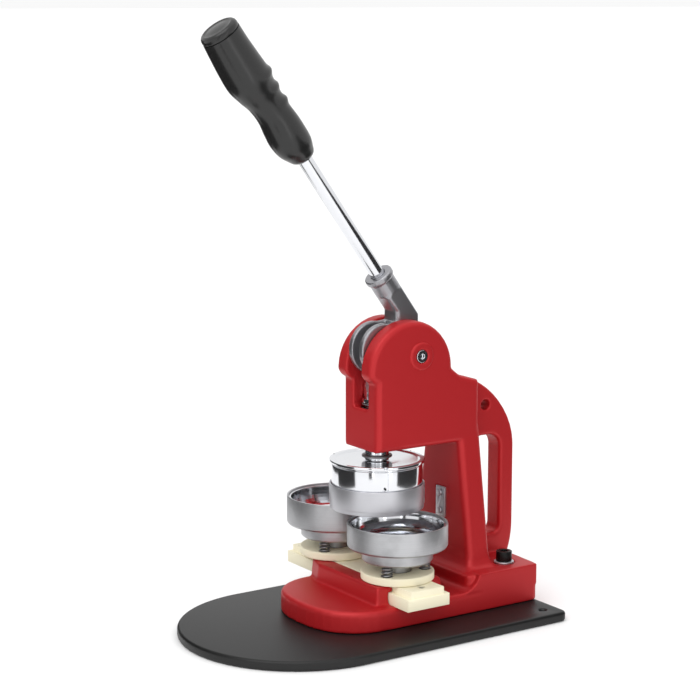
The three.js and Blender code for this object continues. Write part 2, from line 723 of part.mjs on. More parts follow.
function gripEndCap() {
  const start = neckEnd + gripStart + gripLength + GAP;
  const ring = (s, share) => leverRing(start + s, -gripSink * gripR,
    gripR * share * 0.95, gripR * share, 2.1);
  return loft([ring(0, 0.97), ring(1.6, 1.0), ring(4, 0.98), ring(5.6, 0.88), ring(6.4, 0.6)]);
}

// ---------- link and ram ----------
function pressLink() {
  const half = linkEyeR - 1;
  const body = join(pin(linkEyeR, 0, crankZ, -linkHalfWidth, linkHalfWidth),
    pin(linkEyeR, 0, wristZ, -linkHalfWidth, linkHalfWidth),
    box(-linkHalfWidth, linkHalfWidth, -half, half, wristZ, crankZ));
  return cut(body, pin(crankPinR + GAP, 0, crankZ, -linkHalfWidth - 1, linkHalfWidth + 1),
    pin(wristPinR + wristClearance, 0, wristZ, -linkHalfWidth - 1, linkHalfWidth + 1));
}

function ram() {
  const forkTop = wristZ + forkHalfDepth;
  const fork = join(box(-forkHalfWidth, forkHalfWidth, -forkHalfDepth, forkHalfDepth, forkFloorZ - 1, wristZ),
    pin(forkHalfDepth, 0, wristZ, -forkHalfWidth, forkHalfWidth));
  const [x, y] = [linkHalfWidth + RUN, ramCollarR + 1];
  const gap = box(-x, x, -y, y, forkFloorZ, forkTop + 1);
  const shoulder = flangeTopZ - flangeDish + GAP;
  const shaft = turned([[0, shoulder], [ramR, shoulder], [ramR, collarBottomZ], [ramCollarR, collarBottomZ],
    [ramCollarR, forkFloorZ], [0, forkFloorZ]], 0, 0, SEG_M);
  const body = join(shaft, cut(fork, gap));
  const trimmed = body.intersect(post(ramCollarR, 0, 0, shoulder - 1, forkTop + 1));
  const groove = retainerWidth + 2 * GAP;
  const retainer = turned([[ramR - retainerGrooveDepth, retainerZ], [ramR + 5, retainerZ],
    [ramR + 5, retainerZ + groove], [ramR - retainerGrooveDepth, retainerZ + groove]], 0, 0, SEG_M);
  return cut(trimmed, gap, retainer,
    pin(wristPinR + GAP, 0, wristZ, -forkHalfWidth + pinInset - GAP, forkHalfWidth + 5),
    post(coreScrewBoreR, 0, 0, shoulder - 5, flangeTopZ + 12, SEG_S));
}

function ramRetainer() {
  const [inner, outer] = [ramR - retainerGrooveDepth + GAP, ramR + 2.4];
  const [low, high] = [retainerZ + GAP, retainerZ + GAP + retainerWidth];
  return turned([[inner, low], [outer, low], [outer, high], [inner, high]], 0, 0, SEG_M);
}

function ramBush() {
  const [inner, outer] = [ramR + RUN, ramR + RUN + bushWall];
  const low = headBottomZ + GAP;
  return turned([[inner, low], [outer, low], [outer, springSeatZ], [inner, springSeatZ]], 0, 0, SEG_M);
}

// ---------- upper die ----------
function slotTools(depth, z0, z1, width) {
  return slotAngles.map((angle) => {
    const geometry = new THREE.BoxGeometry(depth * 2, width, z1 - z0);
    geometry.translate(coreR, 0, (z0 + z1) / 2).rotateZ(rad(angle));
    return solid(geometry);
  });
}

function upperFlange() {
  const [outer, inner] = [coreR + flangeOverhang, coreR + flangeOverhang - flangeRimWidth];
  const dishZ = flangeTopZ - flangeDish;
  const profile = [[0, flangeBottomZ + GAP], [outer - 0.6, flangeBottomZ + GAP], [outer, flangeBottomZ + 0.9],
    [outer, flangeTopZ - 0.6], [outer - 0.6, flangeTopZ], [inner, flangeTopZ], [inner - 0.8, dishZ], [0, dishZ]];
  return cut(turned(profile), post(coreScrewBoreR, 0, 0, flangeBottomZ - 1, flangeTopZ + 1, SEG_S));
}

function upperCore() {
  const low = coreBottomZ;
  const recess = [[0, low + 6], [coreR * 0.55, low + 6], [coreR - 5, low + 4], [coreR - 4, low]];
  const profile = [...recess, [coreR - 0.8, low], [coreR, low + 0.8], [coreR, flangeBottomZ - 1.4],
    [coreR - 1, flangeBottomZ], [0, flangeBottomZ]];
  return cut(turned(profile), post(coreScrewBoreR, 0, 0, low, flangeBottomZ + 1, SEG_S),
    ...slotTools(coreSlotDepth, ringTopZ + 0.5, flangeBottomZ - 2, coreSlotWidth));
}

function coreScrew() {
  const low = coreBottomZ + 5.7;
  const shank = post(coreScrewR, 0, 0, low, flangeTopZ + 10, SEG_S);
  return join(shank, post(2 * coreScrewR, 0, 0, low - 3, low, SEG_M));
}

function guidePin(angle) {
  const inner = coreR - coreSlotDepth + GAP;
  const length = coreSlotDepth - 2 * GAP;
  const geometry = new THREE.CylinderGeometry(guidePinR, guidePinR, length, 10);
  geometry.rotateZ(Math.PI / 2).translate(inner + length / 2, 0, ringTopZ + 2).rotateZ(rad(angle));
  return solid(geometry);
}

function guardRing() {
  const lipR = ringBoreR + lipWall;
  return turned([[ringBoreR, ringTopZ], [ringBoreR, lipBottomZ], [lipR, lipBottomZ], [lipR, ringBottomZ - 0.4],
    [ringR - 0.3, ringBottomZ], [ringR, ringBottomZ + 0.5], [ringR, ringTopZ - 0.5], [ringR - 0.4, ringTopZ]]);
}

// ---------- slider ----------
function sliderBar() {
  const [low, high] = [leftDieX - barOverhang, rightDieX + barOverhang];
  const flange = runAlongX(polygon([[-barHalfDepth, barBottomZ], [barHalfDepth, barBottomZ],
    [barHalfDepth, barShoulderZ], [-barHalfDepth, barShoulderZ]]), low, high, 1);
  const neck = runAlongX(polygon([[-barNeckHalfDepth, barShoulderZ - 2], [barNeckHalfDepth, barShoulderZ - 2],
    [barNeckHalfDepth, barTopZ], [-barNeckHalfDepth, barTopZ]]), low + 2, high - 2, 1);
  const bores = [rightDieX, leftDieX].map((x) => post(stemR + RUN, x, 0, barBottomZ + 3, barTopZ + 5));
  const stops = [low + stopInset, high - stopInset]
    .map((x) => post(stopR + GAP, x, 0, barShoulderZ - 4, barTopZ + 5, SEG_S));
  return cut(join(flange, neck), ...bores, ...stops);
}

function stopScrew(x) {
  const top = barTopZ - stopSink;
  return cut(post(stopR, x, 0, barShoulderZ - 3.6, top, SEG_S),
    post(stopR * 0.58, x, 0, top - 3, top + 1, 6));
}

const springPlaces = (x) => springAngles.map((angle) => {
  const [dx, dy] = polar(springPitchR, angle);
  return [x + dx, dy];
});

function dieDisc(x) {
  const disc = turned([[0, discBottomZ], [discR - 0.8, discBottomZ], [discR, discBottomZ + 0.8],
    [discR, discTopZ - 1], [discR - 1, discTopZ], [0, discTopZ]], x, 0);
  const pockets = springPlaces(x)
    .map(([px, py]) => post(springOuterR + RUN, px, py, discTopZ - springPocket, discTopZ + 1, SEG_S));
  return cut(disc, post(stemR + RUN, x, 0, discBottomZ - 1, discTopZ + 1), ...pockets);
}

const dieSpring = ([x, y]) => coil(springOuterR, springWireR, x, y, discTopZ - springPocket + GAP,
  dieBaseBottomZ - GAP, springTurns);

function dieRing(x, rimZ) {
  const inner = dieR - dieWall;
  const bore = dieBaseR + GAP;
  const outside = [[bore, dieFloorZ], [dieR - 0.8, dieFloorZ], [dieR, dieFloorZ + 0.8], [dieR, rimZ - 0.5]];
  const rim = [[dieR - 0.5, rimZ], [inner + 0.3, rimZ], [inner, rimZ - 0.4]];
  const floor = [[inner, annulusTopZ + 2], [inner - 2, annulusTopZ], [bore, annulusTopZ]];
  return turned([...outside, ...rim, ...floor], x, 0);
}

function dieBowl(x, rimZ) {
  const outer = dieR - dieWall - GAP;
  const low = annulusTopZ + GAP;
  const lip = rimZ - bowlDrop;
  const floor = low + bowlFloor;
  const padR = outer * 0.57;
  const dish = Array.from({ length: 5 }, (_, i) => {
    const t = i / 4;
    return [outer - bowlWall - 7 * t ** 1.6, lip - (lip - floor - 2) * Math.sin(t * Math.PI / 2)];
  });
  const outside = [[0, low], [outer - 3, low], [outer, floor + 2], [outer, lip + 0.5],
    [outer - bowlWall, lip + 0.5]];
  return turned([...outside, ...dish, [padR, floor + 2.2], [padR - 1.5, floor + 3.4], [0, floor + 3.4]], x, 0);
}

function dieBase(x) {
  const body = turned([[0, dieBaseBottomZ], [dieBaseR - 0.8, dieBaseBottomZ], [dieBaseR, dieBaseBottomZ + 0.8],
    [dieBaseR, annulusTopZ], [0, annulusTopZ]], x, 0);
  const stem = post(stemR, x, 0, barBottomZ + 4 + pressTravel, dieBaseBottomZ + 1);
  return join(body, stem);
}

// ---------- assembly ----------
add('base_plate', 'blackPaint', basePlate());
add('body_casting', 'redPaint', bodyCasting());
for (const [side, name] of [[1, 'right'], [-1, 'left']]) {
  add(`rear_bolt_${name}`, 'blackOxide', rearBolt(side));
  add(`rear_washer_${name}`, 'turnedSteel', rearWasher(side));
  add(`front_screw_${name}`, 'blackOxide', frontScrew(side));
  add(`axle_screw_${name}`, 'turnedSteel', axleScrew(side));
}
add('guide_strip', 'turnedSteel', guideStrip());
for (const [i, z] of stripScrewPlaces().entries()) {
  add(`strip_screw_${['lower', 'upper'][i]}`, 'turnedSteel', stripScrew(z));
}
add('ram_bush', 'bronze', ramBush());
add('pivot_axle', 'turnedSteel', pivotAxle());

add('lever_hub', 'castAluminium', leverHub());
add('hub_bush', 'bronze', hubBush());
add('lever_rod', 'chrome',
  leverRod(rodR, neckEnd - rodSocket + GAP, neckEnd + gripStart + gripInset - GAP, SEG_M));
add('lever_grip', 'blackPlastic', grip());
add('grip_end_cap', 'blackPlastic', gripEndCap());
add('crank_pin', 'turnedSteel', pin(crankPinR, 0, crankZ, -hubHalfWidth + pinInset + GAP, hubHalfWidth));
add('press_link', 'turnedSteel', pressLink());

add('ram_shaft', 'chrome', ram());
add('ram_retainer', 'springSteel', ramRetainer());
add('wrist_pin', 'turnedSteel', pin(wristPinR, 0, wristZ, -forkHalfWidth + pinInset, forkHalfWidth));
add('upper_die_flange', 'chrome', upperFlange());
add('upper_die_core', 'chrome', upperCore());
add('upper_die_screw', 'blackOxide', coreScrew());
slotAngles.forEach((angle, i) => add(`guide_pin_${i + 1}`, 'blackOxide', guidePin(angle)));
add('guard_ring', 'turnedSteel', guardRing());
add('ram_spring', 'springSteel',
  coil(ramCollarR, ramSpringWireR, 0, 0, springSeatZ + GAP, collarBottomZ - GAP, ramSpringTurns, 12));

add('slider_bar', 'nylon', sliderBar());
add('stop_screw_right', 'blackOxide', stopScrew(rightDieX + barOverhang - stopInset));
add('stop_screw_left', 'blackOxide', stopScrew(leftDieX - barOverhang + stopInset));
for (const [name, x, height] of [['right', rightDieX, rightDieHeight], ['left', leftDieX, leftDieHeight]]) {
  const rimZ = dieFloorZ + height;
  add(`${name}_die_disc`, 'nylon', dieDisc(x));
  springPlaces(x).forEach((place, i) => add(`${name}_die_spring_${i + 1}`, 'springSteel', dieSpring(place)));
  add(`${name}_die_base`, 'turnedSteel', dieBase(x));
  add(`${name}_die_ring`, 'turnedSteel', dieRing(x, rimZ));
  add(`${name}_die_bowl`, 'chrome', dieBowl(x, rimZ));
}

export default machine;
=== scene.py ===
"""Looks of a button badge maker: a hand lever press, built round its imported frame."""

import json
import math

import bmesh
import bpy
from bpy.props import FloatProperty, FloatVectorProperty, IntProperty, PointerProperty
from bpy.types import Operator, Panel, PropertyGroup
from mathutils import Matrix, Vector

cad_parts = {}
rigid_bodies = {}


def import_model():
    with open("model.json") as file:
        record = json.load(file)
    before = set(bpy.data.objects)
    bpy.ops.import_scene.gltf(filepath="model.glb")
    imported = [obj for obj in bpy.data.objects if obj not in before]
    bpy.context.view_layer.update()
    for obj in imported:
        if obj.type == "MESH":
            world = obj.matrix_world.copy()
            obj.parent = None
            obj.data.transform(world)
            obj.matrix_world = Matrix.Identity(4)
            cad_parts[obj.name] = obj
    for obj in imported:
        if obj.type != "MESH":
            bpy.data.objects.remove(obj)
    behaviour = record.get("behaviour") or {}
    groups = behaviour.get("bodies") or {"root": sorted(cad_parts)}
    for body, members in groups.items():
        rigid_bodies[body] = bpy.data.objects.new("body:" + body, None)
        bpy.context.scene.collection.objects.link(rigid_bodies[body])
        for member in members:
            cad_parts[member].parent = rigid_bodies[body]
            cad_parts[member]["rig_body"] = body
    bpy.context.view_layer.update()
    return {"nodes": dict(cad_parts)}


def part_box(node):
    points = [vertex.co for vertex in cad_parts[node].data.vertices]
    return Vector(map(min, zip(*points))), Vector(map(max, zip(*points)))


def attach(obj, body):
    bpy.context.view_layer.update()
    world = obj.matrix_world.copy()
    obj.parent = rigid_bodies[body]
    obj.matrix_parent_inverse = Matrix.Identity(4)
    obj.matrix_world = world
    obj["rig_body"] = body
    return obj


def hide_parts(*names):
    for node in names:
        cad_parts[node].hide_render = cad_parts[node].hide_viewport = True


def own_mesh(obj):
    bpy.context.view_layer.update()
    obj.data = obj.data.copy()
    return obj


bl_info = {
    "name": "Button Badge Maker",
    "version": (1, 0, 0),
    "blender": (4, 5, 0),
    "location": "3D View > Sidebar > Badge Maker",
    "description": "Builds the shown pieces and finishes of a hand lever badge press",
    "category": "Add Mesh",
}

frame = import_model()
MM = 0.001

# Machined recesses of the casting, in metres.
BAR_CLEARANCE = 0.4 * MM
BAR_NECK_INSET = 4 * MM
BAR_SHOULDER_RISE = 9.5 * MM
SCREW_CLEARANCE = 0.3 * MM
SCREW_PROUD = 0.9 * MM
WASHER_CLEARANCE = 1 * MM

# The lever's line: its lean from vertical, and its distance above and behind the pivot.
LEVER_LEAN = math.radians(36)
LEVER_OFFSET = 17.1 * MM

# Dark cards round the object: azimuth in degrees, width, height and distance in metres.
CARDS = (
    (-116, 0.34, 0.36, 0.32), (-50, 0.1, 0.9, 0.7), (48, 0.42, 0.36, 0.32), (200, 0.5, 0.5, 0.6),
)
CARD_LIFT = 0.002
# Azimuths of the tall strip lights.
STRIPS = (-46, -2)
STRIP_DISTANCE = 0.95
STRIP_HEIGHT = 0.35
STRIP_SIZE = (0.12, 1.1)
TOP_PLACE = Vector((0.1, 0.1, 1.5))
TOP_SIZE = (0.9, 0.9)
LIGHT_AIM = Vector((0, 0, 0.2))
KEY_FROM = (0.35, -0.75, 1.25)
KEY_SPREAD = math.radians(50)
FLOOR_SIZE = (200.0, 200.0)

# The camera looks at its target from this side, height and distance.
CAMERA_AZIMUTH = math.radians(56.0861)
CAMERA_ELEVATION = math.radians(9.93735)
CAMERA_DISTANCE = 1.5
CAMERA_TARGET = Vector((0.05272, -0.06134, 0.23221))
CAMERA_LENS = 102.857


# ---------- places taken from the frame ----------
def middle(node):
    """Centre of a frame node's box."""
    low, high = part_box(node)
    return (low + high) / 2


def compass(azimuth):
    """Level direction at an azimuth, in degrees from +X towards +Y."""
    angle = math.radians(azimuth)
    return Vector((math.cos(angle), math.sin(angle), 0))


def body_of(node):
    """Name of the body that a frame node moves with."""
    return frame["nodes"][node]["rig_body"]


PIVOT = middle("pivot_axle")
ALONG = Vector((0, -math.sin(LEVER_LEAN), math.cos(LEVER_LEAN)))
ACROSS = Vector((0, math.cos(LEVER_LEAN), math.sin(LEVER_LEAN)))
SIDEWAYS = Vector((1, 0, 0))


def lever_point(along, across=0.0, sideways=0.0):
    """Point at a distance up the lever from its pivot, off its centreline by the other two."""
    return PIVOT + ALONG * along + ACROSS * (across + LEVER_OFFSET) + SIDEWAYS * sideways


def lever_reach(node):
    """Lowest and highest distance of a frame node's corners up the lever."""
    places = [(v.co - PIVOT).dot(ALONG) for v in frame["nodes"][node].data.vertices]
    return min(places), max(places)


# ---------- shader maths ----------
class Wire:
    """A node's output that can be used in sums, each sum adding its Math node."""

    def __init__(self, finish, socket):
        self.finish = finish
        self.socket = socket

    def sum(self, operation, first, second=0.0):
        return self.finish.node(
            "ShaderNodeMath", {"operation": operation}, {0: first, 1: second}
        )

    def __add__(self, other):
        return self.sum("ADD", self, other)

    __radd__ = __add__

    def __sub__(self, other):
        return self.sum("SUBTRACT", self, other)

    def __rsub__(self, other):
        return self.sum("SUBTRACT", other, self)

    def __mul__(self, other):
        return self.sum("MULTIPLY", self, other)

    __rmul__ = __mul__

    def __truediv__(self, other):
        return self.sum("DIVIDE", self, other)

    def __pow__(self, other):
        return self.sum("POWER", self, other)

    def over(self, edge, softness):
        """0 below edge and 1 above it, with a soft step between."""
        settings = {"interpolation_type": "SMOOTHSTEP"}
        inputs = {"Value": self, "From Min": edge - softness, "From Max": edge + softness}
        return self.finish.node("ShaderNodeMapRange", settings, inputs)


class Finish:
    """One procedural material, built up on a Principled shader."""

    def __init__(self, name, metallic=0.0, coat=0.0, coat_roughness=0.03):
        self.material = bpy.data.materials.new(name)
        self.material.use_nodes = True
        self.tree = self.material.node_tree
        self.shader = self.tree.nodes["Principled BSDF"]
        self.shader.inputs["Metallic"].default_value = metallic
        self.shader.inputs["Coat Weight"].default_value = coat
        self.shader.inputs["Coat Roughness"].default_value = coat_roughness
        self.place = self.node("ShaderNodeTexCoord", output="Object")

    def join(self, value, socket):
        if isinstance(value, Wire):
            self.tree.links.new(value.socket, socket)
        else:
            socket.default_value = value

    def node(self, kind, settings=None, inputs=None, output=0):
        """Adds a node: its settings first, then the values or links of its sockets."""
        made = self.tree.nodes.new(kind)
        for key, value in (settings or {}).items():
            setattr(made, key, value)
        for key, value in (inputs or {}).items():
            self.join(value, made.inputs[key])
        return Wire(self, made.outputs[output])

    def stretched(self, scale):
        """Object coordinates scaled along each axis."""
        inputs = {0: self.place, 1: scale}
        return self.node("ShaderNodeVectorMath", {"operation": "MULTIPLY"}, inputs)

    def noise(self, scale, detail=3.0, roughness=0.5, place=None):
        inputs = {
            "Vector": place or self.place,
            "Scale": scale,
            "Detail": detail,
            "Roughness": roughness,
        }
        return self.node("ShaderNodeTexNoise", None, inputs, "Fac")

    def specks(self, scale, size):
        """1 inside small scattered specks and 0 elsewhere."""
        inputs = {"Vector": self.place, "Scale": scale, "Randomness": 1.0}
        distance = self.node("ShaderNodeTexVoronoi", {"feature": "F1"}, inputs, "Distance")
        return 1 - distance.over(size, size * 0.35)

    def turning(self, centre_x, pitch):
        """Fine tool lines round a vertical axis, on flat faces and walls alike."""
        axes = self.node("ShaderNodeSeparateXYZ", None, {0: self.place})
        height = Wire(self, axes.socket.node.outputs["Z"])
        depth = Wire(self, axes.socket.node.outputs["Y"])
        across = axes - centre_x
        radius = (across * across + depth * depth) ** 0.5
        inputs = {"W": (radius + height) / pitch, "Scale": 1.0, "Detail": 2.0}
        return self.node("ShaderNodeTexNoise", {"noise_dimensions": "1D"}, inputs, "Fac")

    def colour(self, first, second, mask):
        """Base colour that goes from first to second where mask rises to 1."""
        inputs = {0: mask, 6: (*first, 1.0), 7: (*second, 1.0)}
        mixed = self.node("ShaderNodeMix", {"data_type": "RGBA"}, inputs, 2)
        self.join(mixed, self.shader.inputs["Base Color"])

    def tint(self, third, mask):
        """Lays a further colour over the base colour where mask rises to 1."""
        base = self.shader.inputs["Base Color"].links[0].from_socket
        inputs = {0: mask, 6: Wire(self, base), 7: (*third, 1.0)}
        mixed = self.node("ShaderNodeMix", {"data_type": "RGBA"}, inputs, 2)
        self.join(mixed, self.shader.inputs["Base Color"])

    def rough(self, value):
        self.join(value, self.shader.inputs["Roughness"])

    def bump(self, *layers):
        """Relief from (height, depth in metres) layers."""
        normal = None
        for height, depth in layers:
            inputs = {"Height": height, "Distance": depth, "Strength": 1.0}
            if normal:
                inputs["Normal"] = normal
            normal = self.node("ShaderNodeBump", None, inputs, "Normal")
        self.join(normal, self.shader.inputs["Normal"])


def shade(colour, share):
    return tuple(channel * share for channel in colour)


# ---------- finishes ----------
def red_paint(name, colours):
    finish = Finish(name, coat=0.1, coat_roughness=0.05)
    finish.shader.inputs["Specular IOR Level"].default_value = 0.04
    clouds = finish.noise(34, 4)
    finish.colour(colours.red, shade(colours.red, 0.74), clouds.over(0.55, 0.22))
    finish.tint(shade(colours.red, 0.45), finish.specks(260, 0.09) * 0.5)
    finish.rough(0.3 + 0.14 * finish.noise(90, 4))
    finish.bump((finish.noise(48, 2), 0.5 * MM), (finish.noise(620, 2), 0.035 * MM))
    return finish


def black_paint(name, colours):
    finish = Finish(name, coat=0.3, coat_roughness=0.04)
    finish.shader.inputs["Specular IOR Level"].default_value = 0.2
    smears = finish.noise(16, 5, 0.6)
    finish.colour(colours.black, shade(colours.black, 2.4), smears.over(0.56, 0.16))
    finish.tint((0.16, 0.16, 0.16), finish.specks(420, 0.05) * 0.35)
    finish.rough(0.06 + 0.1 * smears)
    finish.bump((finish.noise(22, 2), 0.06 * MM), (finish.noise(700, 2), 0.006 * MM))
    return finish


def black_plastic(name, colours):
    finish = Finish(name, coat=0.05, coat_roughness=0.08)
    finish.shader.inputs["Specular IOR Level"].default_value = 0.06
    grain = finish.noise(1400, 3, 0.6)
    finish.colour(colours.grip, shade(colours.grip, 2.6), finish.noise(40, 4).over(0.6, 0.15))
    finish.rough(0.24 + 0.2 * finish.noise(70, 4))
    finish.bump((finish.noise(55, 2), 0.25 * MM), (grain, 0.03 * MM))
    return finish


def black_oxide(name, colours):
    finish = Finish(name, metallic=0.75)
    wear = finish.noise(380, 5, 0.65)
    finish.colour((0.022, 0.022, 0.024), (0.1, 0.1, 0.105), wear.over(0.62, 0.1))
    finish.rough(0.32 + 0.2 * wear)
    finish.bump((wear, 0.05 * MM))
    return finish


def nylon(name, colours):
    finish = Finish(name)
    finish.shader.inputs["Subsurface Weight"].default_value = 0.18
    finish.shader.inputs["Subsurface Radius"].default_value = (0.004, 0.003, 0.0015)
    mottle = finish.noise(60, 4)
    finish.colour(colours.nylon, shade(colours.nylon, 0.86), mottle.over(0.58, 0.2))
    finish.tint((0.42, 0.36, 0.22), finish.specks(230, 0.07) * 0.35)
    cutter = finish.noise(300, 2, place=finish.stretched((0.1, 4.0, 1.0)))
    finish.rough(0.36 + 0.18 * mottle)
    finish.bump((cutter, 0.05 * MM), (finish.noise(420, 3), 0.04 * MM))
    return finish


def cast_aluminium(name, colours):
    finish = Finish(name, metallic=0.9)
    tumble = finish.noise(240, 5, 0.6)
    finish.colour(colours.aluminium, shade(colours.aluminium, 0.55), tumble.over(0.56, 0.16))
    finish.tint(shade(colours.aluminium, 0.2), finish.specks(330, 0.1) * 0.6)
    finish.rough(0.36 + 0.22 * finish.noise(110, 4))
    finish.bump((finish.noise(90, 3), 0.35 * MM), (tumble, 0.09 * MM))
    return finish


def chrome(name, colours):
    finish = Finish(name, metallic=1.0)
    smears = finish.noise(55, 5, 0.6)
    finish.colour(colours.chrome, shade(colours.chrome, 0.86), smears.over(0.6, 0.18))
    finish.rough(0.05 + 0.09 * smears.over(0.55, 0.2))
    finish.bump((finish.noise(160, 2), 0.03 * MM))
    return finish


def turned_steel(name, colours, centre_x=0.0):
    finish = Finish(name, metallic=1.0)
    lines = finish.turning(centre_x, 0.22 * MM)
    smears = finish.noise(60, 4)
    finish.colour(colours.steel, shade(colours.steel, 0.78), smears.over(0.58, 0.2))
    finish.tint(shade(colours.steel, 0.6), lines.over(0.62, 0.1) * 0.4)
    finish.rough(0.36 + 0.12 * smears + 0.08 * lines)
    finish.bump((lines, 0.012 * MM))
    return finish


def right_die_steel(name, colours):
    return turned_steel(name, colours, middle("right_die_ring").x)


def left_die_steel(name, colours):
    return turned_steel(name, colours, middle("left_die_ring").x)


def spring_steel(name, colours):
    finish = Finish(name, metallic=1.0)
    drawn = finish.noise(900, 3, place=finish.stretched((1, 1, 0.2)))
    finish.colour(colours.spring, shade(colours.spring, 0.6), drawn.over(0.6, 0.15))
    finish.rough(0.2 + 0.14 * drawn)
    finish.bump((drawn, 0.01 * MM))
    return finish


def bronze(name, colours):
    finish = Finish(name, metallic=1.0)
    lines = finish.turning(0.0, 0.2 * MM)
    finish.colour((0.58, 0.38, 0.16), (0.36, 0.22, 0.09), finish.noise(80, 4).over(0.58, 0.2))
    finish.rough(0.3 + 0.14 * lines)
    finish.bump((lines, 0.012 * MM))
    return finish


# Each finish, the record's slot that it belongs to, and what makes it.
FINISHES = {
    "red_paint": ("red_paint", red_paint),
    "black_paint": ("black_paint", black_paint),
    "black_plastic": ("black_plastic", black_plastic),
    "black_oxide": ("black_oxide", black_oxide),
    "nylon": ("nylon", nylon),
    "cast_aluminium": ("cast_aluminium", cast_aluminium),
    "chrome": ("chrome", chrome),
    "turned_steel": ("turned_steel", turned_steel),
    "right_die_steel": ("turned_steel", right_die_steel),
    "left_die_steel": ("turned_steel", left_die_steel),
    "spring_steel": ("spring_steel", spring_steel),
    "bronze": ("bronze", bronze),
}


def finish_named(name):
    """The material of that name, made the first time that it is asked for."""
    made = bpy.data.materials.get(name)
    if made is None:
        made = FINISHES[name][1](name, bpy.context.scene.badge_colours).material
    return made


# ---------- making and placing pieces ----------
def show(name, mesh, finish, *nodes, sharp=38):
    """Puts a mesh on the body of the frame nodes that it stands for, with its finish."""
    piece = bpy.data.objects.new(name, mesh)
    bpy.context.scene.collection.objects.link(piece)
    mesh.materials.clear()
    mesh.materials.append(finish_named(finish))
    mesh.shade_smooth()
    mesh.set_sharp_from_angle(angle=math.radians(sharp))
    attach(piece, body_of(nodes[0]))
    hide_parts(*nodes)
    return piece


def mesh_from(name, points, faces):
    mesh = bpy.data.meshes.new(name)
    mesh.from_pydata([tuple(p) for p in points], [], faces)
    mesh.validate()
    outward(mesh)
    return mesh


def outward(mesh):
    """Turns every face of a closed mesh outward."""
    work = bmesh.new()
    work.from_mesh(mesh)
    bmesh.ops.recalc_face_normals(work, faces=work.faces)
    work.to_mesh(mesh)
    work.free()


def skin(name, rings, closed=False):
    """Mesh over rings of equal count, joined end to end or capped by a fan at each end."""
    count = len(rings[0])
    points = [p for ring in rings for p in ring]
    spans = len(rings) if closed else len(rings) - 1
    faces = []
    for level in range(spans):
        low, high = level * count, (level + 1) % len(rings) * count
        for k in range(count):
            n = (k + 1) % count
            faces.append((low + k, low + n, high + n, high + k))
    if not closed:
        for level in (0, len(rings) - 1):
            tip = len(points)
            points.append(sum(rings[level], Vector()) / count)
            for k in range(count):
                faces.append((level * count + k, level * count + (k + 1) % count, tip))
    return mesh_from(name, points, faces)


def rounded(corners, radius, steps=3):
    """A closed outline with each corner replaced by an arc no larger than its sides allow."""
    out = []
    count = len(corners)
    for i, corner in enumerate(corners):
        here = Vector(corner)
        before, after = Vector(corners[i - 1]) - here, Vector(corners[(i + 1) % count]) - here
        reach = min(radius, before.length * 0.45, after.length * 0.45)
        on_axis = here.x < 1e-6
        if on_axis or reach < 1e-6:
            out.append(here)
            continue
        start, end = here + before.normalized() * reach, here + after.normalized() * reach
        for k in range(steps + 1):
            t = k / steps
            out.append(start * (1 - t) ** 2 + here * (2 * t * (1 - t)) + end * t**2)
    return out


def turned(name, corners, centre_x=0.0, edge=0.4 * MM):
    """Mesh of (radius, height) corners turned about a vertical axis, its corners rounded."""
    steps = bpy.context.scene.badge_sizes.turning_steps
    outline = rounded(corners, edge)
    solid = outline[0].x < 1e-6
    rings = []
    for k in range(steps):
        angle = math.tau * k / steps
        c, s = math.cos(angle), math.sin(angle)
        rings.append([Vector((centre_x + p.x * c, p.x * s, p.y)) for p in outline])
    points = [p for ring in rings for p in ring]
    count = len(outline)
    faces = []
    for k in range(steps):
        low, high = k * count, (k + 1) % steps * count
        for j in range(count - 1 if solid else count):
            n = (j + 1) % count
            faces.append((low + j, high + j, high + n, low + n))
    mesh = mesh_from(name, points, faces)
    work = bmesh.new()
    work.from_mesh(mesh)
    bmesh.ops.remove_doubles(work, verts=work.verts, dist=0.002 * MM)
    bmesh.ops.recalc_face_normals(work, faces=work.faces)
    work.to_mesh(mesh)
    work.free()
    return mesh


def refined(name, node, edge=0.4 * MM, segments=3):
    """A copy of a frame node's mesh with its flat faces merged and its sharp edges rounded."""
    work = bmesh.new()
    work.from_mesh(frame["nodes"][node].data)
    bmesh.ops.remove_doubles(work, verts=work.verts, dist=0.01 * MM)
    everything = {"verts": work.verts, "edges": work.edges}
    bmesh.ops.dissolve_limit(work, angle_limit=math.radians(1), **everything)
    sharp = [e for e in work.edges if e.is_manifold and e.calc_face_angle(0) > math.radians(40)]
    bmesh.ops.bevel(
        work, geom=sharp, offset=edge, segments=segments, profile=0.5, affect="EDGES",
        clamp_overlap=True,
    )
    bmesh.ops.recalc_face_normals(work, faces=work.faces)
    mesh = bpy.data.meshes.new(name)
    work.to_mesh(mesh)
    work.free()
    return mesh


def applied(mesh, modifiers):
    """A mesh after (type, settings) modifiers, with nothing left to evaluate."""
    holder = bpy.data.objects.new("holder", mesh)
    bpy.context.scene.collection.objects.link(holder)
    for kind, settings in modifiers:
        modifier = holder.modifiers.new(kind.title(), kind)
        for key, value in settings.items():
            setattr(modifier, key, value)
    shown = holder.evaluated_get(bpy.context.evaluated_depsgraph_get())
    made = bpy.data.meshes.new_from_object(shown)
    bpy.data.objects.remove(holder)
    return made


def cast(name, node, voxel, passes):
    """A copy of a frame node's mesh whose edges and corners run into each other as a casting's do."""
    mesh = frame["nodes"][node].data.copy()
    relax = {"factor": 0.5, "iterations": passes}
    made = applied(mesh, [("REMESH", {"mode": "VOXEL", "voxel_size": voxel}), ("SMOOTH", relax)])
    made.name = name
    return made


def carved(mesh, cutters):
    """A mesh less each cutter mesh."""
    for cutter in cutters:
        tool = bpy.data.objects.new("tool", cutter)
        bpy.context.scene.collection.objects.link(tool)
        settings = {"object": tool, "operation": "DIFFERENCE", "solver": "EXACT"}
        mesh = applied(mesh, [("BOOLEAN", settings)])
        bpy.data.objects.remove(tool)
    return mesh


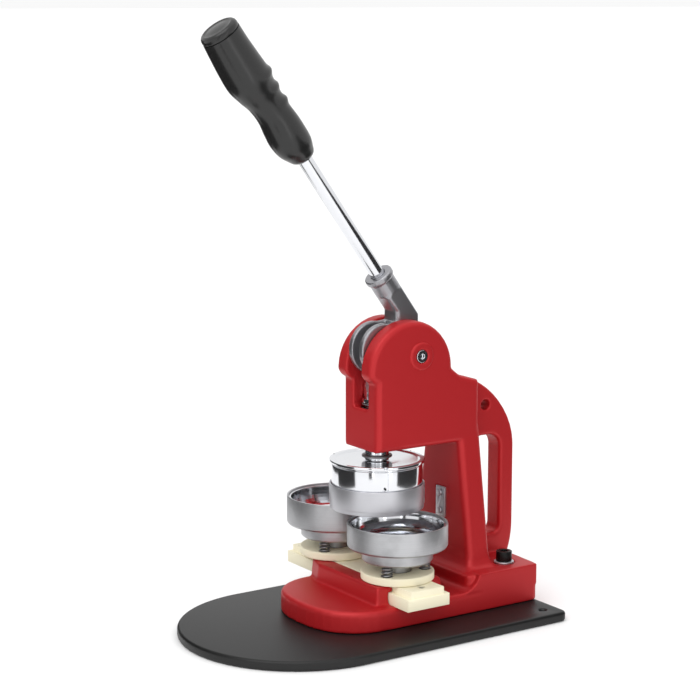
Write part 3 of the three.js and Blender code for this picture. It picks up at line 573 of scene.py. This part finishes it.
def block(low, high):
    """Cutter with flat faces between two corners."""
    ring = [(low.x, low.y), (high.x, low.y), (high.x, high.y), (low.x, high.y)]
    return skin("block", [[Vector((x, y, z)) for x, y in ring] for z in (low.z, high.z)])


def rod(name, centre, radius, axis, start, end, steps=48, edge=0.0):
    """Round bar along an axis from start to end of centre, its ends chamfered by edge."""
    turn = Vector(axis).to_track_quat("Z", "Y").to_matrix()
    stations = [(start, radius - edge), (start + edge, radius), (end - edge, radius),
                (end, radius - edge)] if edge else [(start, radius), (end, radius)]
    rings = []
    for place, r in stations:
        angles = [math.tau * k / steps for k in range(steps)]
        ring = [Vector((r * math.cos(a), r * math.sin(a), place)) for a in angles]
        rings.append([centre + turn @ p for p in ring])
    return skin(name, rings)


def coil(name, node, wire, turns, steps=22, sides=10):
    """Closed mesh of round wire wound in a frame node's box, its end turns laid flat."""
    low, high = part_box(node)
    centre = (low + high) / 2
    radius = (high.x - low.x) / 2 - wire
    count = round(turns * steps)
    flat = 0.7 / turns
    rings = []
    for k in range(count + 1):
        t = k / count
        angle = math.tau * turns * t
        climb = min(max((t - flat) / (1 - 2 * flat), 0), 1)
        ends = min(t, 1 - t) / flat
        lift = wire * (1 - min(ends, 1)) * (-1 if t > 0.5 else 1)
        z = low.z + 2 * wire + (high.z - low.z - 4 * wire) * climb - lift
        outwards = Vector((math.cos(angle), math.sin(angle), 0))
        place = Vector((centre.x, centre.y, z)) + outwards * radius
        ring = []
        for j in range(sides):
            a = math.tau * j / sides
            ring.append(place + outwards * (wire * math.cos(a)) + Vector((0, 0, wire * math.sin(a))))
        rings.append(ring)
    return skin(name, rings)


# ---------- base plate and casting ----------
def base_plate_mesh():
    """Plate with a half-round nose, rounded edges and two fixing holes."""
    low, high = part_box("base_plate")
    edge = 2.4 * MM
    half = high.x
    nose_y = low.y + half
    corner = 7 * MM
    rear = [(half - corner, high.y - corner, 0), (corner - half, high.y - corner, 90)]
    outline = [(half * math.cos(math.radians(a)), nose_y + half * math.sin(math.radians(a)))
               for a in range(-180, 1, 2)]
    for x, y, first in rear:
        for a in range(first, first + 91, 9):
            angle = math.radians(a)
            outline.append((x + corner * math.cos(angle), y + corner * math.sin(angle)))
    inset = 15 * MM
    holes = [(side * (half - inset), high.y - inset, 2.6 * MM) for side in (-1, 1)]
    curve = bpy.data.curves.new("base_plate", "CURVE")
    curve.dimensions = "2D"
    curve.fill_mode = "BOTH"
    curve.extrude = (high.z - low.z) / 2 - edge
    curve.bevel_depth = edge
    curve.bevel_resolution = 5
    curve.offset = -edge
    loops = [outline]
    for x, y, r in holes:
        ring = [math.radians(a) for a in range(0, 360, 15)]
        loops.append([(x + r * math.cos(a), y + r * math.sin(a)) for a in ring])
    for loop in loops:
        spline = curve.splines.new("POLY")
        spline.points.add(len(loop) - 1)
        for point, (x, y) in zip(spline.points, loop):
            point.co = (x, y, 0, 1)
        spline.use_cyclic_u = True
    holder = bpy.data.objects.new("base_plate_outline", curve)
    bpy.context.scene.collection.objects.link(holder)
    shown = holder.evaluated_get(bpy.context.evaluated_depsgraph_get())
    mesh = bpy.data.meshes.new_from_object(shown)
    bpy.data.objects.remove(holder)
    work = bmesh.new()
    work.from_mesh(mesh)
    bmesh.ops.remove_doubles(work, verts=work.verts, dist=0.005 * MM)
    middle_z = sum(v.co.z for v in work.verts) / len(work.verts)
    bmesh.ops.translate(work, verts=work.verts, vec=(0, 0, middle("base_plate").z - middle_z))
    work.to_mesh(mesh)
    work.free()
    return mesh


def bar_channel():
    """Cutter for the T-shaped way that the slider bar runs in."""
    low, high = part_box("slider_bar")
    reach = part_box("body_casting")[1].x + 5 * MM
    wide, narrow = high.y + BAR_CLEARANCE, high.y - BAR_NECK_INSET + BAR_CLEARANCE
    floor, shoulder = low.z - BAR_CLEARANCE, low.z + BAR_SHOULDER_RISE + BAR_CLEARANCE
    top = high.z + 5 * MM
    half = [(wide, floor), (wide, shoulder), (narrow, shoulder), (narrow, top)]
    outline = half + [(-y, z) for y, z in reversed(half)]
    return skin("bar_channel", [[Vector((x, y, z)) for y, z in outline] for x in (-reach, reach)])


def casting_cutters():
    """Machined recesses that stay crisp in the casting."""
    cutters = [bar_channel()]
    for side, name in ((1, "right"), (-1, "left")):
        low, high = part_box(f"axle_screw_{name}")
        radius = (high.z - low.z) / 2 + SCREW_CLEARANCE
        head = (high.x - low.x) * 0.36
        seat = high.x - head if side > 0 else low.x + head
        centre = Vector((0, middle(f"axle_screw_{name}").y, middle(f"axle_screw_{name}").z))
        ends = sorted((seat, side * 0.04))
        cutters.append(rod("screw_seat", centre, radius, (1, 0, 0), *ends))
        low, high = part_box(f"rear_washer_{name}")
        centre = Vector((middle(f"rear_washer_{name}").x, middle(f"rear_washer_{name}").y, 0))
        radius = (high.x - low.x) / 2 + WASHER_CLEARANCE
        cutters.append(rod("bolt_seat", centre, radius, (0, 0, 1), low.z - 0.3 * MM, 0.05))
    return cutters


# ---------- lever ----------
# The grip's outline: share of its length, share of its radius, and shift across in radii.
GRIP_STATIONS = (
    (0.0, 0.42, 0.0), (0.015, 0.6, 0.0), (0.05, 0.74, -0.03), (0.11, 0.92, -0.08),
    (0.2, 0.99, -0.12), (0.28, 0.96, -0.1), (0.38, 0.88, -0.08), (0.48, 0.9, -0.12),
    (0.56, 1.0, -0.2), (0.66, 1.13, -0.25), (0.78, 1.1, -0.26), (0.9, 1.04, -0.24),
    (1.0, 1.0, -0.2),
)
GRIP_RADIUS = 15.6 * MM
GRIP_RIDGES = (0.42, 0.53, 0.64)


def grip_at(share):
    """Radius and sideways shift of the grip at a share of its length, smoothly between stations."""
    last = len(GRIP_STATIONS) - 1
    i = max(k for k in range(last) if GRIP_STATIONS[k][0] <= share)
    p0, p1, p2, p3 = (GRIP_STATIONS[min(max(i + k, 0), last)] for k in (-1, 0, 1, 2))
    t = (share - p1[0]) / (p2[0] - p1[0])
    out = []
    for axis in (1, 2):
        m1 = (p2[axis] - p0[axis]) / max(p2[0] - p0[0], 1e-6) * (p2[0] - p1[0])
        m2 = (p3[axis] - p1[axis]) / max(p3[0] - p1[0], 1e-6) * (p2[0] - p1[0])
        a, b = p1[axis], p2[axis]
        out.append(a + t * m1 + t**2 * (3 * (b - a) - 2 * m1 - m2) + t**3 * (m1 + m2 - 2 * (b - a)))
    return out


def grip_mesh(name):
    """Moulded grip: a swelling body with finger ridges on the side that the fingers wrap."""
    start, end = lever_reach("lever_grip")
    ridge = bpy.context.scene.badge_sizes.ridge_height
    steps, around = 110, 56
    rings = []
    for k in range(steps + 1):
        share = k / steps
        radius, shift = grip_at(share)
        ring = []
        for j in range(around):
            angle = math.tau * j / around
            c, s = math.cos(angle), math.sin(angle)
            swell = sum(math.exp(-(((share - r) / 0.026) ** 2)) for r in GRIP_RIDGES)
            rise = ridge * swell * max(0.0, s) ** 1.3
            size = GRIP_RADIUS * radius + rise
            across = GRIP_RADIUS * shift + size * s
            ring.append(lever_point(start + (end - start) * share, across, 0.95 * size * c))
        rings.append(ring)
    return skin(name, rings)


def end_cap_mesh(name):
    """Plug in the grip's end, with a raised rim and a shallow dome inside it."""
    start, end = lever_reach("grip_end_cap")
    deep = end - start
    profile = ((0.0, 0.9), (0.0, 0.965), (0.1, 0.985), (0.35, 0.99), (0.6, 0.965), (0.8, 0.9),
               (0.9, 0.82), (0.92, 0.76), (0.86, 0.71), (0.84, 0.66), (0.9, 0.5), (0.96, 0.3),
               (0.99, 0.12))
    around = 56
    rings = []
    for place, share in profile:
        ring = []
        for j in range(around):
            angle = math.tau * j / around
            across = GRIP_RADIUS * (-0.2 + share * math.sin(angle))
            sideways = GRIP_RADIUS * share * 0.95 * math.cos(angle)
            ring.append(lever_point(start + deep * place, across, sideways))
        rings.append(ring)
    return skin(name, rings)


# ---------- dies ----------
def die_axis(node):
    return middle(node).x


def outer(node):
    """Outside radius, underside and top of a round frame node."""
    low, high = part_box(node)
    return (high.y - low.y) / 2, low.z, high.z


def ring_mesh(name, node):
    """Lower die's ring: an upright wall with a rounded rim, a foot chamfer and a ledge inside."""
    radius, low, high = outer(node)
    bore = outer(node.replace("ring", "base"))[0] + 0.3 * MM
    wall = 1.5 * MM
    ledge = low + 1 * MM
    inner = radius - wall
    corners = [(bore, low), (radius - 1.4 * MM, low), (radius - 0.7 * MM, low + 0.3 * MM),
               (radius, low + 1.6 * MM), (radius, high), (inner, high), (inner, ledge + 2 * MM),
               (inner - 2 * MM, ledge), (bore, ledge)]
    return turned(name, corners, die_axis(node), 0.5 * MM)


def bowl_mesh(name, node):
    """Lower die's bowl: a mirror dish round a raised pad."""
    radius, low, high = outer(node)
    floor = low + 1.5 * MM
    wall = 1.6 * MM
    pad = radius * 0.57
    rim = [(0, low), (radius - 3 * MM, low), (radius, floor + 2 * MM), (radius, high),
           (radius - wall, high)]
    dish = []
    for k in range(1, 9):
        t = k / 8
        drop = (high - floor - 2.5 * MM) * math.sin(t * math.pi / 2)
        dish.append((radius - wall - 7 * MM * t**1.6, high - 0.5 * MM - drop))
    middle_part = [(pad + 1 * MM, floor + 2.1 * MM), (pad, floor + 2.6 * MM),
                   (pad - 1.2 * MM, floor + 3.4 * MM), (pad * 0.4, floor + 3.4 * MM),
                   (pad * 0.34, floor + 2.7 * MM), (0, floor + 2.7 * MM)]
    return turned(name, rim + dish + middle_part, die_axis(node), 0.35 * MM)


def die_base_mesh(name, node):
    """Lower die's base on its guide stem."""
    radius, low, high = outer(node)
    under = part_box(node.replace("base", "disc"))[1].z
    base_low = high - 12.1 * MM
    stem = 11 * MM
    corners = [(0, low), (stem - 0.8 * MM, low), (stem, low + 1 * MM), (stem, under),
               (stem, base_low), (radius - 1.2 * MM, base_low), (radius, base_low + 1.2 * MM),
               (radius, high), (0, high)]
    return turned(name, corners, die_axis(node), 0.35 * MM)


def disc_mesh(name, node):
    """Nylon disc with the stem's hole and a pocket under each spring."""
    radius, low, high = outer(node)
    bore = 11.4 * MM
    corners = [(bore, low), (radius, low), (radius, high), (bore, high)]
    disc = turned(name, corners, die_axis(node), 0.9 * MM)
    side = node.split("_")[0]
    cutters = []
    for k in (1, 2, 3):
        spring_low, spring_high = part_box(f"{side}_die_spring_{k}")
        centre = (spring_low + spring_high) / 2
        hole = (spring_high.x - spring_low.x) / 2 + 0.4 * MM
        at = Vector((centre.x, centre.y, 0))
        cutters.append(rod("pocket", at, hole, (0, 0, 1), spring_low.z - 0.3 * MM, high + MM))
    return carved(disc, cutters)


def guard_ring_mesh(name):
    """Guard ring with its thin polished lip below."""
    radius, low, high = outer("guard_ring")
    bore = radius - 1.3 * MM
    step = low + 3.5 * MM
    corners = [(bore, high), (bore, low), (bore + 0.8 * MM, low), (bore + 0.8 * MM, step),
               (radius, step), (radius, high)]
    return turned(name, corners, 0.0, 0.45 * MM)


def flange_mesh(name):
    """Dished mirror flange with a raised rim and three pockets in the rim."""
    radius, low, high = outer("upper_die_flange")
    rim = 4 * MM
    dish = high - 1.4 * MM
    corners = [(0, low), (radius, low), (radius, high), (radius - rim, high),
               (radius - rim - 1.4 * MM, dish + 0.2 * MM), (radius * 0.5, dish - 0.25 * MM),
               (0, dish - 0.1 * MM)]
    disc = turned(name, corners, 0.0, 0.5 * MM)
    cutters = []
    for angle in (-24, 96, 216):
        turn = Matrix.Rotation(math.radians(angle), 3, "Z")
        at = turn @ Vector((radius - 0.6 * MM, 0, 0))
        cutters.append(rod("rim_pocket", at, 1.7 * MM, (0, 0, 1), high - 1.2 * MM, high + MM, 24))
    return carved(disc, cutters)


def core_mesh(name):
    """Chrome core with three upright slots in its side and a recess for the button's front."""
    radius, low, high = outer("upper_die_core")
    corners = [(0, low + 6 * MM), (radius * 0.55, low + 6 * MM), (radius - 5 * MM, low + 4 * MM),
               (radius - 4 * MM, low), (radius, low), (radius, high - 1.4 * MM),
               (radius - 0.7 * MM, high - 1.1 * MM), (radius - 0.7 * MM, high), (0, high)]
    core = turned(name, corners, 0.0, 0.5 * MM)
    ring_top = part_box("guard_ring")[1].z
    cutters = []
    for k in (1, 2, 3):
        pin = middle(f"guide_pin_{k}")
        turn = math.atan2(pin.y, pin.x)
        slot = block(Vector((radius - 2 * MM, -2.5 * MM, ring_top + 0.5 * MM)),
                     Vector((radius + 2 * MM, 2.5 * MM, high - 2 * MM)))
        slot.transform(Matrix.Rotation(turn, 4, "Z"))
        cutters.append(slot)
    return carved(core, cutters)


# ---------- sizes and colours that a user may change ----------
class BadgeSizes(PropertyGroup):
    """Sizes of the shown detail."""

    cast_grain: FloatProperty(
        name="Casting grain", description="Voxel size that the casting is rounded at",
        default=1.1 * MM, min=0.8 * MM, max=4 * MM, precision=5, unit="LENGTH",
    )
    cast_passes: IntProperty(
        name="Casting softness", description="Smoothing passes over the casting's edges",
        default=5, min=0, max=40,
    )
    hub_grain: FloatProperty(
        name="Hub grain", description="Voxel size that the lever's hub is rounded at",
        default=0.7 * MM, min=0.4 * MM, max=2 * MM, precision=5, unit="LENGTH",
    )
    turning_steps: IntProperty(
        name="Turning steps", description="Facets round each turned piece",
        default=128, min=32, max=256,
    )
    ridge_height: FloatProperty(
        name="Finger ridges", description="Height of the grip's finger ridges",
        default=1.9 * MM, min=0, max=4 * MM, precision=5, unit="LENGTH",
    )
    edge: FloatProperty(
        name="Edge rounding", description="Radius on the small pieces' edges",
        default=0.35 * MM, min=0.05 * MM, max=1 * MM, precision=5, unit="LENGTH",
    )


def colour_property(name, description, default):
    settings = {"subtype": "COLOR", "size": 3, "min": 0.0, "max": 1.0}
    return FloatVectorProperty(name=name, description=description, default=default, **settings)


class BadgeColours(PropertyGroup):
    """Base colours of the finishes."""

    red: colour_property("Red paint", "Body casting", (0.33, 0.0, 0.002))
    black: colour_property("Black paint", "Base plate", (0.004, 0.004, 0.0043))
    grip: colour_property("Grip", "Moulded plastic", (0.004, 0.004, 0.0042))
    nylon: colour_property("Nylon", "Slider bar and discs", (0.74, 0.66, 0.42))
    aluminium: colour_property("Cast aluminium", "Lever hub", (0.5, 0.51, 0.53))
    chrome: colour_property("Chrome", "Ram, rod and upper die", (0.62, 0.62, 0.64))
    steel: colour_property("Turned steel", "Rings and bases", (0.56, 0.565, 0.58))
    spring: colour_property("Spring steel", "Springs", (0.5, 0.5, 0.52))


class BadgeStudio(PropertyGroup):
    """Floor and lights."""

    sun_power: FloatProperty(
        name="Key light", description="Strength of the soft key from the front left",
        default=0.95, min=0.0,
    )
    strip_power: FloatProperty(
        name="Strip lights", description="Power of each tall narrow light",
        default=0.55, min=0.0, unit="POWER",
    )
    top_power: FloatProperty(
        name="Top light", description="Power of the light overhead",
        default=0.8, min=0.0, unit="POWER",
    )
    surround: FloatProperty(
        name="Surround", description="Brightness of the room", default=0.95, min=0.0, max=3.0,
    )


# ---------- operators ----------
class PRESS_OT_stage(Operator):
    """Make the pale floor, the soft lights and the camera"""

    bl_idname = "press.stage"
    bl_label = "Stage"

    def execute(self, context):
        scene = context.scene
        studio = scene.badge_studio
        scene.view_settings.view_transform = "Standard"
        finish = Finish("pale_floor")
        finish.colour((0.94, 0.94, 0.94), (0.92, 0.92, 0.92), finish.noise(3, 2))
        finish.rough(0.8)
        self.sheet("floor", (0, 0, 0), FLOOR_SIZE, (0, 0, 1), finish.material)
        dark = Finish("dark_card")
        dark.colour((0.012, 0.012, 0.013), (0.02, 0.02, 0.02), dark.noise(5, 2))
        dark.rough(0.8)
        for k, (azimuth, width, height, distance) in enumerate(CARDS):
            side = compass(azimuth)
            place = side * distance + Vector((0, 0, height / 2 + CARD_LIFT))
            card = self.sheet(f"card_{k}", place, (width, height), -side, dark.material)
            card.visible_camera = False
            card.visible_shadow = False
            card.visible_diffuse = False
        self.surround(scene, studio.surround)
        self.sun(scene, KEY_FROM, studio.sun_power)
        for k, azimuth in enumerate(STRIPS):
            place = compass(azimuth) * STRIP_DISTANCE + Vector((0, 0, STRIP_HEIGHT))
            self.light(scene, f"strip_{k}", place, STRIP_SIZE, studio.strip_power)
        self.light(scene, "top", TOP_PLACE, TOP_SIZE, studio.top_power)
        self.camera(scene)
        return {"FINISHED"}

    def sheet(self, name, place, size, facing, material):
        """Flat sheet of the studio, width by height, looking the way of facing."""
        turn = Vector(facing).to_track_quat("Z", "Y").to_matrix()
        half = Vector(size) / 2
        corners = [(-half.x, -half.y), (half.x, -half.y), (half.x, half.y), (-half.x, half.y)]
        points = [Vector(place) + turn @ Vector((x, y, 0)) for x, y in corners]
        mesh = bpy.data.meshes.new(name)
        mesh.from_pydata([tuple(p) for p in points], [], [(0, 1, 2, 3)])
        mesh.materials.append(material)
        made = bpy.data.objects.new(name, mesh)
        bpy.context.scene.collection.objects.link(made)
        return made

    def surround(self, scene, strength):
        world = bpy.data.worlds.new("room")
        world.use_nodes = True
        background = world.node_tree.nodes["Background"]
        background.inputs["Color"].default_value = (1.0, 1.0, 1.0, 1.0)
        background.inputs["Strength"].default_value = strength
        scene.world = world

    def sun(self, scene, direction, strength):
        lamp = bpy.data.lights.new("key", "SUN")
        lamp.energy = strength
        lamp.angle = KEY_SPREAD
        holder = bpy.data.objects.new("key", lamp)
        holder.rotation_euler = Vector(direction).to_track_quat("Z", "Y").to_euler()
        scene.collection.objects.link(holder)

    def light(self, scene, name, place, size, power):
        lamp = bpy.data.lights.new(name, "AREA")
        lamp.shape = "RECTANGLE"
        lamp.size, lamp.size_y = size
        lamp.energy = power
        holder = bpy.data.objects.new(name, lamp)
        holder.location = place
        aim = LIGHT_AIM - place
        holder.rotation_euler = aim.to_track_quat("-Z", "Y").to_euler()
        holder.visible_camera = False
        scene.collection.objects.link(holder)

    def camera(self, scene):
        data = bpy.data.cameras.new("camera")
        data.lens = CAMERA_LENS
        data.sensor_width = 36
        across = math.cos(CAMERA_ELEVATION)
        back = Vector((math.sin(CAMERA_AZIMUTH) * across, -math.cos(CAMERA_AZIMUTH) * across,
                       math.sin(CAMERA_ELEVATION)))
        camera = bpy.data.objects.new("camera", data)
        camera.location = CAMERA_TARGET + back * CAMERA_DISTANCE
        camera.rotation_euler = (-back).to_track_quat("-Z", "Y").to_euler()
        scene.collection.objects.link(camera)
        scene.camera = camera


class PRESS_OT_base(Operator):
    """Make the black base plate"""

    bl_idname = "press.base"
    bl_label = "Base plate"

    def execute(self, context):
        show("base_plate_shown", base_plate_mesh(), "black_paint", "base_plate")
        return {"FINISHED"}


class PRESS_OT_casting(Operator):
    """Make the red body casting and the raised rings round its axle screws"""

    bl_idname = "press.casting"
    bl_label = "Body casting"

    def execute(self, context):
        sizes = context.scene.badge_sizes
        mesh = cast("casting", "body_casting", sizes.cast_grain, sizes.cast_passes)
        show("casting", carved(mesh, casting_cutters()), "red_paint", "body_casting", sharp=50)
        for side, name in ((1, "right"), (-1, "left")):
            low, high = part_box(f"axle_screw_{name}")
            inner = (high.z - low.z) / 2 + SCREW_CLEARANCE
            face = max(abs(low.x), abs(high.x)) - SCREW_PROUD
            corners = [(inner, -1.5 * MM), (inner + 6 * MM, -1.5 * MM), (inner + 6 * MM, 0.2 * MM),
                       (inner + 4.4 * MM, 1.1 * MM), (inner + 1 * MM, 1.1 * MM), (inner, 0.4 * MM)]
            boss = turned(f"axle_boss_{name}", corners, 0.0, 0.8 * MM)
            turn = Matrix.Rotation(side * math.pi / 2, 4, "Y")
            centre = middle(f"axle_screw_{name}")
            boss.transform(Matrix.Translation((side * face, centre.y, centre.z)) @ turn)
            piece = bpy.data.objects.new(f"axle_boss_{name}", boss)
            context.scene.collection.objects.link(piece)
            boss.materials.append(finish_named("red_paint"))
            boss.shade_smooth()
            boss.set_sharp_from_angle(angle=math.radians(38))
            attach(piece, body_of("body_casting"))
        return {"FINISHED"}


class PRESS_OT_fixings(Operator):
    """Make the bolts, washers, screws, guide strip, axle and bush of the frame"""

    bl_idname = "press.fixings"
    bl_label = "Fixings"

    def execute(self, context):
        edge = context.scene.badge_sizes.edge
        finishes = {
            "rear_bolt": "black_oxide", "rear_washer": "turned_steel",
            "front_screw": "black_oxide", "axle_screw": "chrome",
        }
        for kind, finish in finishes.items():
            for side in ("right", "left"):
                node = f"{kind}_{side}"
                show(f"{node}_shown", refined(node, node, edge), finish, node)
        for node in ("guide_strip", "strip_screw_lower", "strip_screw_upper", "pivot_axle"):
            show(f"{node}_shown", refined(node, node, edge), "turned_steel", node)
        radius, low, high = outer("ram_bush")
        corners = [(radius - 2.6 * MM, low), (radius, low), (radius, high), (radius - 2.6 * MM, high)]
        show("ram_bush_shown", turned("ram_bush", corners), "bronze", "ram_bush")
        return {"FINISHED"}


class PRESS_OT_lever(Operator):
    """Make the lever: hub, bush, crank pin, rod, grip and end cap"""

    bl_idname = "press.lever"
    bl_label = "Lever"

    def execute(self, context):
        sizes = context.scene.badge_sizes
        hub = cast("lever_hub", "lever_hub", sizes.hub_grain, 5)
        show("lever_hub_shown", hub, "cast_aluminium", "lever_hub", sharp=50)
        for node, finish in (("hub_bush", "bronze"), ("crank_pin", "turned_steel")):
            show(f"{node}_shown", refined(node, node, sizes.edge), finish, node)
        start, end = lever_reach("lever_rod")
        low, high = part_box("lever_rod")
        radius = (high.x - low.x) / 2
        bar = rod("lever_rod", lever_point(0), radius, ALONG, start, end, 64, 0.6 * MM)
        show("lever_rod_shown", bar, "chrome", "lever_rod")
        show("lever_grip_shown", grip_mesh("lever_grip"), "black_plastic", "lever_grip", sharp=60)
        show("grip_end_cap_shown", end_cap_mesh("grip_end_cap"), "black_plastic", "grip_end_cap")
        return {"FINISHED"}


class PRESS_OT_ram(Operator):
    """Make the ram, its link, pin, retaining ring and return spring"""

    bl_idname = "press.ram"
    bl_label = "Ram"

    def execute(self, context):
        edge = context.scene.badge_sizes.edge
        pieces = {
            "press_link": "turned_steel", "ram_shaft": "chrome", "ram_retainer": "spring_steel",
            "wrist_pin": "turned_steel",
        }
        for node, finish in pieces.items():
            show(f"{node}_shown", refined(node, node, edge), finish, node)
        mesh = coil("ram_spring", "ram_spring", 0.8 * MM, 6)
        spring = show("ram_spring_shown", mesh, "spring_steel", "ram_spring")
        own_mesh(spring)
        return {"FINISHED"}


class PRESS_OT_upper_die(Operator):
    """Make the upper die: flange, core, screw, guide pins and guard ring"""

    bl_idname = "press.upper_die"
    bl_label = "Upper die"

    def execute(self, context):
        edge = context.scene.badge_sizes.edge
        show("upper_flange_shown", flange_mesh("upper_flange"), "chrome", "upper_die_flange")
        show("upper_core_shown", core_mesh("upper_core"), "chrome", "upper_die_core")
        show("guard_ring_shown", guard_ring_mesh("guard_ring"), "turned_steel", "guard_ring")
        for node in ("upper_die_screw", "guide_pin_1", "guide_pin_2", "guide_pin_3"):
            show(f"{node}_shown", refined(node, node, edge / 2), "black_oxide", node)
        return {"FINISHED"}


class PRESS_OT_slider(Operator):
    """Make the slider: nylon bar, stop screws, discs and die springs"""

    bl_idname = "press.slider"
    bl_label = "Slider"

    def execute(self, context):
        edge = context.scene.badge_sizes.edge
        bar = refined("slider_bar", "slider_bar", 0.5 * MM)
        show("slider_bar_shown", bar, "nylon", "slider_bar")
        for side in ("right", "left"):
            stop = f"stop_screw_{side}"
            show(f"{stop}_shown", refined(stop, stop, edge), "black_oxide", stop)
            disc = f"{side}_die_disc"
            show(f"{disc}_shown", disc_mesh(disc, disc), "nylon", disc)
            for k in (1, 2, 3):
                self.spring(side, f"{side}_die_spring_{k}")
        return {"FINISHED"}

    def spring(self, side, node):
        spring = show(f"{node}_shown", coil(node, node, 0.8 * MM, 4.5), "spring_steel", node)
        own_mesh(spring)


class PRESS_OT_lower_dies(Operator):
    """Make the two lower dies: base, ring and bowl of each"""

    bl_idname = "press.lower_dies"
    bl_label = "Lower dies"

    def execute(self, context):
        for side in ("right", "left"):
            steel = f"{side}_die_steel"
            base, ring, bowl = (f"{side}_die_{part}" for part in ("base", "ring", "bowl"))
            show(f"{base}_shown", die_base_mesh(base, base), steel, base)
            show(f"{ring}_shown", ring_mesh(ring, ring), steel, ring)
            show(f"{bowl}_shown", bowl_mesh(bowl, bowl), "chrome", bowl)
        return {"FINISHED"}


class PRESS_PT_sidebar(Panel):
    """Buttons that build the badge maker, and its sizes and colours"""

    bl_label = "Badge Maker"
    bl_idname = "PRESS_PT_sidebar"
    bl_space_type = "VIEW_3D"
    bl_region_type = "UI"
    bl_category = "Badge Maker"

    def draw(self, context):
        scene = context.scene
        for group in (scene.badge_sizes, scene.badge_colours, scene.badge_studio):
            column = self.layout.column()
            for key in group.__annotations__:
                column.prop(group, key)
        for operator in OPERATORS:
            self.layout.operator(operator.bl_idname)


OPERATORS = (
    PRESS_OT_stage, PRESS_OT_base, PRESS_OT_casting, PRESS_OT_fixings, PRESS_OT_lever,
    PRESS_OT_ram, PRESS_OT_upper_die, PRESS_OT_slider, PRESS_OT_lower_dies,
)
GROUPS = {"badge_sizes": BadgeSizes, "badge_colours": BadgeColours, "badge_studio": BadgeStudio}


def register():
    for group in GROUPS.values():
        bpy.utils.register_class(group)
    for name, group in GROUPS.items():
        setattr(bpy.types.Scene, name, PointerProperty(type=group))
    for operator in OPERATORS:
        bpy.utils.register_class(operator)
    bpy.utils.register_class(PRESS_PT_sidebar)


def unregister():
    bpy.utils.unregister_class(PRESS_PT_sidebar)
    for operator in reversed(OPERATORS):
        bpy.utils.unregister_class(operator)
    for name, group in GROUPS.items():
        delattr(bpy.types.Scene, name)
        bpy.utils.unregister_class(group)


def main():
    register()
    for operator in OPERATORS:
        group, name = operator.bl_idname.split(".")
        getattr(getattr(bpy.ops, group), name)()
    bpy.context.view_layer.update()


if __name__ == "__main__":
    main()
